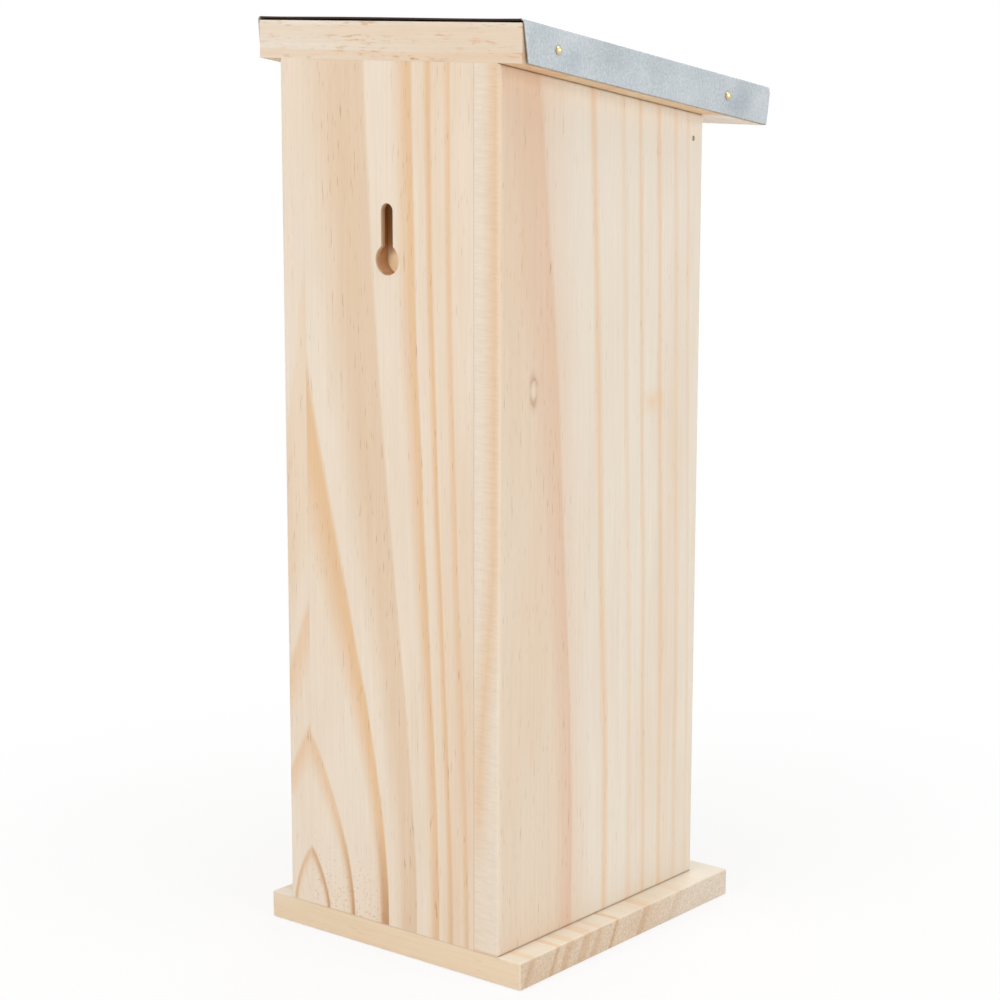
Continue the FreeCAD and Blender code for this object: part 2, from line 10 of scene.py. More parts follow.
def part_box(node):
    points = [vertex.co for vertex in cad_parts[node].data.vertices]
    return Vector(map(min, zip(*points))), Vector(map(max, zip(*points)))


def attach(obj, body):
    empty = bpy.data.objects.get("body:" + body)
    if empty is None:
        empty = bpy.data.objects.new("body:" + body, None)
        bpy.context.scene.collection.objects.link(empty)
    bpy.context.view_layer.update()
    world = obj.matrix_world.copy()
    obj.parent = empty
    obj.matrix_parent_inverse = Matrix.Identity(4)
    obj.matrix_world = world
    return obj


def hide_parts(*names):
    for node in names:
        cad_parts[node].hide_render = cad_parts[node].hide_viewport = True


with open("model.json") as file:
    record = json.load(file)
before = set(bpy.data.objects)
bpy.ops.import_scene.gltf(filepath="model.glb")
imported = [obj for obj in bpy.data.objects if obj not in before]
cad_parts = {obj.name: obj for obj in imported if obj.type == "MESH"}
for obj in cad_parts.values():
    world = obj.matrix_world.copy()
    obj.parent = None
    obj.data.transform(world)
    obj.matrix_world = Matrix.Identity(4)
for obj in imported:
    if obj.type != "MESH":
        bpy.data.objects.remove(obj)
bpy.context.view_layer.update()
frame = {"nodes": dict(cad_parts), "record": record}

bl_info = {
    "name": "Bee hotel",
    "version": (1, 0, 0),
    "blender": (4, 5, 0),
    "location": "View3D > Sidebar > Bee hotel",
    "description": "Dresses a packed bee hotel: pine box, zinc roof, nest wood, wire guard and studio",
    "category": "Object",
}

MM = 0.001
FULL_TURN = 2 * math.pi
GUARD = "guard"
HOUSE = "house"
NEST_SEED = 20


def linear(code):
    """An sRGB hex colour as linear red, green, blue."""
    parts = [int(code[i:i + 2], 16) / 255 for i in (1, 3, 5)]
    return Color([p / 12.92 if p <= 0.04045 else ((p + 0.055) / 1.055) ** 2.4 for p in parts])


def mm(*lengths):
    """Lengths in millimetres, as metres."""
    return tuple(length * MM for length in lengths)


def colour_property(name, description, code):
    """A colour that a user may change, with its default as an sRGB hex value."""
    return FloatVectorProperty(
        name=name, description=description, default=tuple(linear(code)), subtype="COLOR", size=3, min=0,
        max=1)


def length_property(name, description, millimetres):
    """A length that a user may change, with its default in millimetres."""
    return FloatProperty(
        name=name, description=description, default=millimetres * MM, min=0, unit="LENGTH", precision=5)


class BeeHotelSizes(bpy.types.PropertyGroup):
    """Sizes of the pieces that are made here; places come from the frame."""
    sheet: length_property("Sheet", "Thickness of the roof sheet", 0.6)
    flare: length_property("Flare", "How far the flanges' back ends stand off the board", 0.7)
    dimple: length_property("Dimple", "How far the nails draw the flanges in", 0.22)
    ripple: length_property("Ripple", "Unevenness of the folded sheet", 0.16)
    wire: length_property("Wire", "Thickness of one wire of the guard's mesh", 0.85)
    mesh_columns: IntProperty(
        name="Mesh columns", description="Gaps across the guard's mesh", default=4, min=1)
    mesh_rows: IntProperty(
        name="Mesh rows", description="Gaps up the guard's mesh", default=15, min=1)
    cane_bore: length_property("Cane bore", "Width of the canes' holes", 11.0)
    branch_bore: length_property("Branch bore", "Width of the branch sections' holes", 8.5)
    log_bore: length_property("Log bore", "Width of the logs' middle holes", 10.0)
    side_bore: length_property("Side bore", "Width of the logs' smaller holes", 5.0)
    side_ring: length_property("Side ring", "Radius that the logs' smaller holes lie on", 12.5)
    side_count: IntProperty(name="Side holes", description="Smaller holes in each log", default=4, min=1)
    bore_end: length_property("Bore end", "Wood left behind the blind holes", 12.0)


class BeeHotelColours(bpy.types.PropertyGroup):
    """Colours of the finishes."""
    early_wood: colour_property("Early wood", "Pale wood between the pine's growth lines", "#EDDECB")
    late_wood: colour_property("Late wood", "Tan of the pine's growth lines", "#E6BA88")
    heart_wood: colour_property("Heart wood", "Pinkish tan of the pine's broad bands", "#E0C09D")
    pink_wood: colour_property("Pink wood", "Pinkish band of the side panel", "#DFB797")
    resin: colour_property("Resin", "Brown of the pine's resin flecks", "#A86B38")
    fleck: colour_property("Roof flecks", "Resin flecks on the roof board's edge, and the painted shade at the side panel's foot", "#CF9355")
    side_wood: colour_property("Side wood", "Pale wood of the left side and the roof board", "#EADFCF")
    end_grain: colour_property("End grain", "Tint that greys the pine's cut ends", "#EFE8E0")
    end_ring: colour_property("End rings", "Growth lines on the pine's cut ends", "#B89A7E")
    zinc: colour_property("Zinc", "Light patches of the zinc sheet", "#D0D5D8")
    zinc_shade: colour_property("Zinc shade", "Darker patches of the zinc sheet", "#A9B1B6")
    zinc_dent_shade: colour_property("Zinc dent shade", "Bluish tint of the painted shade round the flange nails and of a darker patch midway", "#EAEEF1")
    sheet_gap_shade: colour_property("Sheet gap shade", "Painted shade of the gap under the roof sheet, on its underside and cut edges", "#473B35")
    brass: colour_property("Brass", "Domed nails, pivot pins and turn button", "#D7C69B")
    steel: colour_property("Steel", "Screws, staples and bare cut edges", "#B9B9B4")
    wire: colour_property("Wire", "Galvanised wire", "#AEB3B6")
    bamboo: colour_property("Bamboo", "Skin of the canes", "#D8BE84")
    bamboo_flesh: colour_property("Bamboo flesh", "Cut ends of the canes", "#E7D5A8")
    bark: colour_property("Bark", "Bark of branches and logs", "#7A5A40")
    bark_ridge: colour_property("Bark ridge", "Dry ridges of the bark", "#A98D6E")
    heart_cut: colour_property("Cut heart", "Darker middle of a cut branch or log", "#C79A68")
    sap_cut: colour_property("Cut sapwood", "Pale outer wood of a cut branch or log", "#E6CDA2")


class BeeHotelStage(bpy.types.PropertyGroup):
    """Camera and light."""
    lens: FloatProperty(name="Lens", description="Focal length on a 36 mm sensor", default=92.53, min=1)
    world: FloatProperty(name="World", description="Strength of the even light", default=0.36, min=0)
    key: FloatProperty(name="Key", description="Power of the soft lamp on the back", default=7.2, min=0)
    fill: FloatProperty(name="Fill", description="Power of the soft lamp on the side", default=7.15, min=0)
    front: FloatProperty(name="Front", description="Power of the soft lamp on the front", default=6.5, min=0)
    top: FloatProperty(name="Top", description="Power of the soft lamp overhead", default=8.0, min=0)


# Materials. A tint multiplies a linear colour, and bleaches it where it is above one.
BLEND = {"data_type": "RGBA"}
TINT = {"data_type": "RGBA", "blend_type": "MULTIPLY"}
# Rounding that the shading gives to edges, and the shares of its x, y and z that a normal keeps there on an
# upright board.
EASED_EDGE = 0.2 * MM
LEVEL = (1.0, 1.0, 0.05)
# Tints and stains of the finishes, with painted light and shade for the keyhole, roof board, base and nails.
# Painted shade on the keyhole's walls and in its slot, and painted light on its floor.
ROUTED_WALL_SHADE = Color((0.88, 0.65, 0.43))
ROUTED_FLOOR_LIGHT = Color((1.1, 0.98, 0.77))
SLOT_SHADE = Color((0.66, 0.49, 0.31))
# Painted shade under the roof board beside the house, and painted light under its eaves.
UNDERSIDE_SHADE = Color((0.97, 0.82, 0.64))
EAVES_LIGHT = Color((1.08, 1.16, 1.28))
BASE_BACK = Color((1.0, 0.95, 0.85))
# Painted light on the base's top and cut ends.
BASE_TOP_LIGHT = Color((1.07, 1.13, 1.17))
BASE_END_LIGHT = Color((1.05, 1.11, 1.19))
WEATHERED = Color((0.68, 0.69, 0.71))
# Painted shade round the nail heads' rims.
NAIL_RIM_SHADE = linear("#6F5027")
HANDLED = linear("#595959")
CHARRED = linear("#302719")
BLACK = linear("#000000")


def add(tree, kind, inputs=(), **settings):
    """Adds a node, sets its properties, and fills its sockets, in order or by name, with values or links. A
    node that is given as a value stands for its first live output."""
    node = tree.nodes.new("ShaderNode" + kind)
    for key, value in settings.items():
        setattr(node, key, value)
    for key, value in inputs.items() if isinstance(inputs, dict) else enumerate(inputs):
        if isinstance(value, bpy.types.Node):
            value = next(socket for socket in value.outputs if socket.enabled)
        if isinstance(value, bpy.types.NodeSocket):
            tree.links.new(value, node.inputs[key])
        else:
            node.inputs[key].default_value = (*value, 1.0) if isinstance(value, Color) else value
    return node


def new_material(name):
    """An empty node material, its tree and its coordinates."""
    material = bpy.data.materials.new(name)
    material.use_nodes = True
    material.node_tree.nodes.clear()
    return material, material.node_tree, add(material.node_tree, "TexCoord")


def pattern(tree, vector, size, **sockets):
    """Random mottling whose features have a size along x, y and z, in the vector's own unit."""
    spread = add(tree, "Mapping", {"Vector": vector, "Scale": [1 / length for length in size]})
    return add(tree, "TexNoise", {"Vector": spread, "Scale": 1.0, **sockets})


def two_tone(tree, mottling, low, high, first, second):
    """The colour that turns from the first to the second while a pattern rises from low to high."""
    share = add(tree, "MapRange", [mottling, low, high])
    return add(tree, "Mix", {0: share, 6: first, 7: second}, **BLEND)


def looking(tree, place, way, low=0.7, high=0.9, full=1.0):
    """How far a face looks one way: nothing up to the cosine low, full from the cosine high."""
    along = add(tree, "VectorMath", [place.outputs["Normal"], way], operation="DOT_PRODUCT")
    return add(tree, "MapRange", [along, low, high, 0.0, full])


def around(tree, place, middle, size):
    """Where a point lies about a middle, in shares of a size along x, y and z, and how far that is."""
    about = add(tree, "Mapping", {
        "Vector": place.outputs["Object"], "Location": middle, "Scale": size}, vector_type="TEXTURE")
    return about, add(tree, "VectorMath", [about], operation="LENGTH")


def finish_surface(tree, colour, roughness, height=None, relief=0.0, upright=False, **sockets):
    """Ends a material in one shader: colour and roughness, with a bump of a real height in metres and eased
    edges. On an upright board the rounded upper and lower edges take the light as its faces do."""
    inputs = {"Base Color": colour, "Roughness": roughness}
    inputs.update({key.replace("_", " "): value for key, value in sockets.items()})
    if height is not None:
        normal = add(tree, "Bevel", {"Radius": EASED_EDGE}, samples=4)
        if upright:
            flat = add(tree, "VectorMath", [normal, LEVEL], operation="MULTIPLY")
            normal = add(tree, "VectorMath", [flat], operation="NORMALIZE")
        inputs["Normal"] = add(tree, "Bump", {
            "Height": height, "Distance": relief, "Strength": 1.0, "Normal": normal})
    add(tree, "OutputMaterial", {"Surface": add(tree, "BsdfPrincipled", inputs)})


def blend_of(a, b, share):
    """The colour that lies a share of the way from one colour to another."""
    return Color([x + (y - x) * share for x, y in zip(a, b)])


# Pine. Each board is cut from its own place in a trunk: its growth lines are shells about a pith line, in
# millimetres. A line is (start, full, end, depth, wood): it darkens from start to full, keeps its depth
# to end, and stops sharply there, as a year's dark late wood does.
GRAIN_TURN = {"Z": (0, 0, 0), "X": (0, math.pi / 2, 0)}
GRAIN_AXIS = {"Z": (0, 0, 1), "X": (1, 0, 0)}
LINE_EDGE = 0.7
# The power of a shell at a girth: low, for a pointed arch, near the pith, and high further out.
ARCH_POINT = (1.7, 1.36)
ARCH_ROUND = (54.5, 2.39)
# Wood beyond the last line, before the lines begin again.
SPARE_GROWTH = 12.0
# Radius of the core that is stained at the foot, and how high the stain reaches.
CORE = 44.0
STAINED_FOOT = 42.0
SWAY = (3.0, 3.0, 0.0)
# Sizes of the wood's patterns in millimetres, across and along the grain. Fibres, flecks and pores are drawn
# coarser than they are, so that they show.
WANDER = (22, 22, 150)
STAIN = (30, 30, 140)
FIBRE = (0.8, 0.8, 60)
STREAK = (0.7 / 1.3, 0.7 / 1.3, 90 / 1.3)
FLECK = (0.6, 0.6, 8)
PORE = (0.9, 0.9, 0.9)
FIBRE_RELIEF = 0.06 * MM
# The knot's brown rim: how far out, in shares of its size, and how deep.
KNOT_RIM = ((0.46, 0.05), (0.62, 0.6), (0.78, 0.12))


def line_stops(lines, rest=0.0):
    """Colour stops (radius, depth, wood) of growth lines, soft on the inside and sharp on the outside, over
    wood that has the depth rest itself. A line with no wood of its own is late wood."""
    stops = []
    for start, full, end, depth, *own in lines:
        wood = own[0] if own else "late_wood"
        stops += [(start, rest, wood), (full, depth, wood), (end, depth, wood), (end + LINE_EDGE, rest, wood)]
    return stops


def peak_stops(peaks):
    """Colour stops of softer lines of late wood, each given as (start, middle, end, depth)."""
    return [(radius, level, "late_wood") for start, middle, end, depth in peaks
            for radius, level in ((start, 0.0), (middle, depth), (end, 0.0))]


def year_lines(spacing, seed, depth, count=7):
    """Growth lines at uneven steps round a spacing, with uneven depths."""
    draw = np.random.default_rng(seed)
    ends = np.cumsum(spacing * draw.uniform(0.6, 1.4, count))
    depths = depth * draw.uniform(0.45, 1.0, count)
    softs = spacing * draw.uniform(0.3, 0.6, count)
    lines = [(end - soft, end - LINE_EDGE, end, dark) for end, soft, dark in zip(ends, softs, depths)]
    return line_stops(lines)


def growth_radius(tree, axes, climb, reach):
    """Radius of the growth shell through a point of the trunk: girth and closed, each raised to the same
    power and added, and the same root of that. girth is the distance from the pith line, and closed is
    climb times one less the exponential of minus the height over reach."""
    slowing = add(tree, "Math", [axes.outputs["Z"], -1 / reach], operation="MULTIPLY")
    fading = add(tree, "Math", [slowing], operation="EXPONENT")
    closed = add(tree, "Math", [fading, -climb, climb], operation="MULTIPLY_ADD")
    section = add(tree, "CombineXYZ", [axes.outputs["X"], axes.outputs["Y"]])
    girth = add(tree, "VectorMath", [section], operation="LENGTH")
    power = add(tree, "MapRange", [girth, ARCH_POINT[0], ARCH_ROUND[0], ARCH_POINT[1], ARCH_ROUND[1]])
    parts = [add(tree, "Math", [part, power], operation="POWER") for part in (girth, closed)]
    both = add(tree, "Math", parts, operation="ADD")
    root = add(tree, "Math", [1.0, power], operation="DIVIDE")
    return add(tree, "Math", [both, root], operation="POWER")


def pine(name, colours, grain, pith, growth, climb=0.0, reach=85.0, flecks=0.6, foot_stain=0.0, early=None,
         detail=None, upright=False):
    """Planed, unfinished pine: pale wood with tan growth lines, fine fibres along the grain, short resin
    flecks and greyer cut ends. The growth shells lie round the pith line, pith in metres, and close
    towards the top of the trunk by climb millimetres, so that they show as arches on a flat board, pointed
    near the pith and round further out. The innermost lines may darken at the foot by foot_stain, and
    early gives a board a paler wood of its own. upright boards have no shaded edges at top and bottom.
    detail(tree, place, colour) may add marks that only this board has."""
    material, tree, place = new_material(name)
    trunk = add(tree, "Mapping", [
        place.outputs["Object"], pith, GRAIN_TURN[grain], (MM, MM, MM)], vector_type="TEXTURE")
    wander = pattern(tree, trunk, WANDER, Detail=2.0)
    centred = add(tree, "VectorMath", [wander.outputs["Color"], (0.5, 0.5, 0.5)], operation="SUBTRACT")
    swayed = add(tree, "VectorMath", [centred, SWAY, trunk], operation="MULTIPLY_ADD")
    axes = add(tree, "SeparateXYZ", [swayed])
    radius = growth_radius(tree, axes, climb, reach)

    span = growth[-1][0] + SPARE_GROWTH
    share = add(tree, "Math", [radius, 1 / span], operation="MULTIPLY")
    years = add(tree, "ValToRGB", [add(tree, "Math", [share], operation="FRACT")])
    pale = early or colours.early_wood
    stops = years.color_ramp.elements
    for stop in stops:
        stop.color = (*pale, 0.0)
    for shell, depth, wood in growth:
        stops.new(shell / span).color = (*blend_of(pale, getattr(colours, wood), depth), depth)
    line = years.outputs["Alpha"]
    foot = add(tree, "MapRange", [axes.outputs["Z"], 0.0, STAINED_FOOT, foot_stain, 0.0])
    core = add(tree, "MapRange", [radius, CORE - 2.0, CORE, 1.0, 0.15])
    rim = add(tree, "MapRange", [line, 0.3, 0.62])
    low_core = add(tree, "Math", [foot, core], operation="MULTIPLY")
    low_rim = add(tree, "Math", [low_core, rim], operation="MULTIPLY")
    colour = add(tree, "Mix", {0: low_rim, 6: years, 7: colours.resin}, **BLEND)

    stain = add(tree, "MapRange", [pattern(tree, trunk, STAIN, Detail=3.0), 0.42, 0.72, 0.0, 0.4])
    colour = add(tree, "Mix", {0: stain, 6: colour, 7: colours.heart_wood}, **BLEND)
    fibre = pattern(tree, swayed, FIBRE, Detail=4.0, Roughness=0.6)
    shade = add(tree, "MapRange", [fibre, 0.3, 0.7, 0.96, 1.02])
    colour = add(tree, "Mix", {0: 1.0, 6: colour, 7: shade}, **TINT)
    streak = add(tree, "MapRange", [pattern(tree, swayed, STREAK, Detail=2.0), 0.62, 0.78, 0.0, 0.32])
    colour = add(tree, "Mix", {0: streak, 6: colour, 7: colours.late_wood}, **BLEND)
    fleck = add(tree, "MapRange", [pattern(tree, swayed, FLECK, Detail=1.0), 0.66, 0.78, 0.0, flecks])
    resinous = add(tree, "MapRange", [line, 0.0, 0.6, 0.35, 1.0])
    flecked = add(tree, "Math", [fleck, resinous], operation="MULTIPLY")
    colour = add(tree, "Mix", {0: flecked, 6: colour, 7: colours.resin}, **BLEND)

    across = add(tree, "VectorMath", [place.outputs["Normal"], GRAIN_AXIS[grain]], operation="DOT_PRODUCT")
    square = add(tree, "Math", [across], operation="ABSOLUTE")
    cut = add(tree, "MapRange", [square, 0.75, 0.92])
    pore = add(tree, "MapRange", [pattern(tree, trunk, PORE, Detail=3.0), 0.3, 0.7, 0.86, 1.1])
    end = add(tree, "Mix", {0: 1.0, 6: colour, 7: colours.end_grain}, **TINT)
    ring = add(tree, "Math", [line, 0.5], operation="MULTIPLY")
    end = add(tree, "Mix", {0: ring, 6: end, 7: colours.end_ring}, **BLEND)
    end = add(tree, "Mix", {0: 1.0, 6: end, 7: pore}, **TINT)
    colour = add(tree, "Mix", {0: cut, 6: colour, 7: end}, **BLEND)
    if detail is not None:
        colour = detail(tree, place, colour)
    gloss = add(tree, "MapRange", [fibre, 0.3, 0.7, 0.68, 0.56])
    finish_surface(tree, colour, gloss, fibre, FIBRE_RELIEF, upright, Specular_IOR_Level=0.3)
    return material


def routed_back(colours, face, joint, entry, foot):
    """Marks of the back panel: the hairline joint with the left side panel, fine brown specks at the foot,
    and painted light and shade in the keyhole: walls tinted darker brown as painted shade, a floor bleached
    paler and warmer as painted light, and painted shade, dark brown, in the narrow slot's undercut and down
    the deep part of the walls. face is the back's place, joint the panel's half width, entry the height of
    the keyhole's entry hole and foot that of the panel's lower edge, in metres."""
    def detail(tree, place, colour):
        x, y, z = add(tree, "SeparateXYZ", [place.outputs["Object"]]).outputs
        # Painted light and shade in the keyhole: darker brown walls, a paler floor.
        floor = looking(tree, place, (0, 1, 0), 0.6)
        tint = add(tree, "Mix", {0: floor, 6: ROUTED_WALL_SHADE, 7: ROUTED_FLOOR_LIGHT}, **BLEND)
        inside = add(tree, "MapRange", [y, face - 0.1 * MM, face - 1.2 * MM])
        colour = add(tree, "Mix", {0: inside, 6: colour, 7: tint}, **TINT)
        # Painted shade, dark brown, in the narrow slot's undercut and down the deep part of the walls.
        above = add(tree, "MapRange", [z, entry + 1.0 * MM, entry + 5.5 * MM])
        deep = add(tree, "MapRange", [y, face - 2.0 * MM, face - 2.6 * MM])
        narrow = add(tree, "Math", [above, deep], operation="MULTIPLY")
        low_wall = add(tree, "MapRange", [y, face - 4.0 * MM, face - 7.0 * MM, 0.0, 0.5])
        wall = add(tree, "Math", [1.0, floor], operation="SUBTRACT")
        darkened = add(tree, "Math", [low_wall, wall], operation="MULTIPLY")
        keyhole_shade = add(tree, "Math", [narrow, darkened], operation="MAXIMUM")
        colour = add(tree, "Mix", {0: keyhole_shade, 6: colour, 7: SLOT_SHADE}, **TINT)
        crack = add(tree, "MapRange", [x, 0.5 * MM - joint, 0.1 * MM - joint, 0.0, 0.3])
        colour = add(tree, "Mix", {0: crack, 6: colour, 7: colours.resin}, **BLEND)
        speck = pattern(tree, place.outputs["Object"], mm(1.1, 1.1, 1.1), Detail=2.0)
        grime = add(tree, "MapRange", [speck, 0.58, 0.72])
        low = add(tree, "MapRange", [z, foot, foot + 34 * MM, 0.4, 0.0])
        left = add(tree, "MapRange", [x, -4 * MM, 8 * MM])
        low_left = add(tree, "Math", [low, left], operation="MULTIPLY")
        specked = add(tree, "Math", [low_left, grime], operation="MULTIPLY")
        return add(tree, "Mix", {0: specked, 6: colour, 7: colours.resin}, **BLEND)
    return detail


def planed_side(colours, knot, knot_size, smudge, smudge_size, foot):
    """Marks of the side panel: a small knot with a pale eye, brown above and below, the smudge of a buried
    knot, painted shade, orange-brown, along the foot where it meets the base, and a back edge that is paler
    than the face, tan at the corner, with fine ribs that the planer left across it."""
    def detail(tree, place, colour):
        spot = place.outputs["Object"]
        x, _, z = add(tree, "SeparateXYZ", [spot]).outputs
        ragged = pattern(tree, spot, mm(5, 5, 5), Detail=2.0)
        about, distance = around(tree, place, knot, knot_size)
        uneven = add(tree, "Math", [ragged, 0.5, distance], operation="MULTIPLY_ADD")
        eye = add(tree, "ValToRGB", [uneven])
        for stop in eye.color_ramp.elements:
            stop.color = (0, 0, 0, 1)
        for far, depth in KNOT_RIM:
            eye.color_ramp.elements.new(far).color = (depth, depth, depth, 1)
        tall = add(tree, "Math", [add(tree, "SeparateXYZ", [about]).outputs["Z"]], operation="ABSOLUTE")
        capped = add(tree, "MapRange", [tall, 0.05, 0.4, 0.25, 0.95])
        rim = add(tree, "Math", [eye, capped], operation="MULTIPLY")
        pupil = add(tree, "MapRange", [uneven, 0.36, 0.56, 0.45, 0.0])
        colour = add(tree, "Mix", {0: pupil, 6: colour, 7: colours.side_wood}, **BLEND)
        colour = add(tree, "Mix", {0: rim, 6: colour, 7: colours.resin}, **BLEND)
        buried = add(tree, "MapRange", [around(tree, place, smudge, smudge_size)[1], 0.0, 1.0, 0.7, 0.0])
        smudged = add(tree, "Math", [buried, ragged], operation="MULTIPLY")
        colour = add(tree, "Mix", {0: smudged, 6: colour, 7: colours.late_wood}, **BLEND)

        middle = add(tree, "MapRange", [
            z, 60 * MM, 180 * MM, knot[0] + 10 * MM, knot[0] + 2.5 * MM], interpolation_type="SMOOTHSTEP")
        off = add(tree, "Math", [x, middle], operation="SUBTRACT")
        apart = add(tree, "Math", [off], operation="ABSOLUTE")
        corner = add(tree, "MapRange", [apart, 0.0, 6 * MM, 0.72, 0.0])
        upper = add(tree, "MapRange", [z, 40 * MM, 70 * MM, 0.15, 1.0])
        tan = add(tree, "Math", [corner, upper], operation="MULTIPLY")
        pale = blend_of(colours.side_wood, colours.early_wood, 0.6)
        edge = add(tree, "Mix", {0: tan, 6: pale, 7: colours.late_wood}, **BLEND)
        rib = add(tree, "MapRange", [pattern(tree, spot, mm(6, 6, 0.8), Detail=2.0), 0.35, 0.7, 1.02, 0.93])
        edge = add(tree, "Mix", {0: 1.0, 6: edge, 7: rib}, **TINT)
        back = looking(tree, place, (0, 1, 0), full=0.75)
        colour = add(tree, "Mix", {0: back, 6: colour, 7: edge}, **BLEND)
        # Painted shade, orange-brown, along the foot where the panel meets the base.
        foot_shade = add(tree, "MapRange", [z, foot, foot + 1.2 * MM, 0.5, 0.0])
        return add(tree, "Mix", {0: foot_shade, 6: colour, 7: colours.fleck}, **BLEND)
    return detail


def roof_marks(colours, eaves):
    """Marks of the roof board: clusters of orange resin flecks along the grain and, on the underside,
    painted shade, browner, beside the house and painted light, paler, under the eaves, which start at the
    place eaves."""
    def detail(tree, place, colour):
        spot = place.outputs["Object"]
        patch = pattern(tree, spot, mm(34, 8, 4.5), Detail=1.0)
        patch = add(tree, "MapRange", [patch, 0.46, 0.62, 0.05, 1.0])
        fleck = pattern(tree, spot, mm(5, 1.2, 0.8), Detail=2.0)
        fleck = add(tree, "MapRange", [fleck, 0.54, 0.74, 0.0, 0.8])
        flecked = add(tree, "Math", [patch, fleck], operation="MULTIPLY")
        colour = add(tree, "Mix", {0: flecked, 6: colour, 7: colours.fleck}, **BLEND)
        # Painted shade, browner, on the underside beside the house, and painted light, paler, under the
        # eaves.
        along = add(tree, "SeparateXYZ", [spot]).outputs["Y"]
        ahead = add(tree, "MapRange", [along, eaves + 4 * MM, eaves - 2 * MM])
        underside_light_and_shade = add(tree, "Mix", {0: ahead, 6: UNDERSIDE_SHADE, 7: EAVES_LIGHT}, **BLEND)
        return add(tree, "Mix", {0: looking(tree, place, (0, 0, -1)), 6: colour, 7: underside_light_and_shade}, **TINT)
    return detail


def base_tones_and_light(rear):
    """Tones of the base board: a yellower back edge, and painted light: a paler top, and cut ends that grow
    paler to the front; rear is the place of the back edge."""
    def detail(tree, place, colour):
        along = add(tree, "SeparateXYZ", [place.outputs["Object"]]).outputs["Y"]
        ahead = add(tree, "MapRange", [along, rear - 60 * MM, rear - 110 * MM])
        # Each face is tinted by the way it looks: the top and the cut ends are bleached as painted light.
        for way, tint, share in (
                ((0, 1, 0), BASE_BACK, 1.0), ((0, 0, 1), BASE_TOP_LIGHT, 1.0), ((-1, 0, 0), BASE_END_LIGHT, ahead)):
            part = add(tree, "Math", [looking(tree, place, way), share], operation="MULTIPLY")
            colour = add(tree, "Mix", {0: part, 6: colour, 7: tint}, **TINT)
        return colour
    return detail


def galvanised_sheet(colours, dark_patches):
    """Zinc-coated steel sheet, rolled and folded: a fine grain, broad soft clouds, and darker bluish patches
    on the flanges, each a place, a size and a depth: painted shade round the nails' dents, and a darker patch
    midway. The top is weathered. The grain is drawn coarser than it is, so that it shows."""
    material, tree, place = new_material("galvanised zinc sheet")
    cloud = pattern(tree, place.outputs["Object"], mm(24, 24, 24), Detail=4.0, Roughness=0.6)
    grain = pattern(tree, place.outputs["Object"], mm(0.9, 0.9, 1.1), Detail=3.0, Roughness=0.7)
    mottled = add(tree, "Mix", {0: 0.6, 2: cloud, 3: grain})
    colour = two_tone(tree, mottled, 0.34, 0.66, colours.zinc, colours.zinc_shade)
    up = looking(tree, place, (0, 0, 1), 0.5)
    upright = add(tree, "Math", [1.0, up], operation="SUBTRACT")
    colour = add(tree, "Mix", {0: up, 6: colour, 7: WEATHERED}, **TINT)
    # Painted shade: bluish darker patches on the flanges round the nails' dents, and a darker patch midway.
    for middle, size, depth in dark_patches:
        away = around(tree, place, middle, size)[1]
        share = add(tree, "MapRange", [away, 0.0, 1.0, depth, 0.0], interpolation_type="SMOOTHSTEP")
        darkened = add(tree, "Math", [share, upright], operation="MULTIPLY")
        colour = add(tree, "Mix", {0: darkened, 6: colour, 7: colours.zinc_dent_shade}, **TINT)
    shine = add(tree, "MapRange", [mottled, 0.3, 0.7, 0.46, 0.6])
    finish_surface(tree, colour, shine, grain, 0.04 * MM, Metallic=0.7)
    return material


def polished_brass(colours):
    """Brass-plated nail heads: pale gold with a clear highlight, and painted shade, dark brown, round the rim
    where the head meets the sheet."""
    material, tree, _ = new_material("polished brass")
    # Painted shade, dark brown, round the rim where the head meets the sheet.
    crevice = add(tree, "AmbientOcclusion", {"Distance": 1.2 * MM}, samples=8)
    share = add(tree, "MapRange", [crevice.outputs["AO"], 0.6, 1.0, 1.0, 0.0])
    shaded_rim = blend_of(colours.brass, NAIL_RIM_SHADE, 0.85)
    finish_surface(tree, add(tree, "Mix", {0: share, 6: colours.brass, 7: shaded_rim}, **BLEND), 0.22, Metallic=1.0)
    return material


def plated_steel(name, metal, grain, shine):
    """Zinc-plated steel or wire: cool grey metal with small dull patches from handling, grain in
    millimetres."""
    material, tree, place = new_material(name)
    patch = pattern(tree, place.outputs["Object"], mm(grain, grain, grain), Detail=3.0)
    colour = two_tone(tree, patch, 0.4, 0.7, metal, blend_of(metal, HANDLED, 0.3))
    rough = add(tree, "MapRange", [patch, 0.0, 1.0, shine, shine + 0.2])
    finish_surface(tree, colour, rough, Metallic=0.9)
    return material


def gap_shaded_edge(colours):
    """Painted shade of the gap under the roof sheet, put on the sheet's own underside and cut edges: matt
    brown-black, a little uneven.
    """
    material, tree, place = new_material("dark cut edge")
    patch = pattern(tree, place.outputs["Object"], mm(3, 3, 3), Detail=2.0)
    shade = add(tree, "MapRange", [patch, 0.0, 1.0, 0.8, 1.2])
    colour = add(tree, "Mix", {0: 1.0, 6: colours.sheet_gap_shade, 7: shade}, **TINT)
    finish_surface(tree, colour, 0.85, Specular_IOR_Level=0.1)
    return material


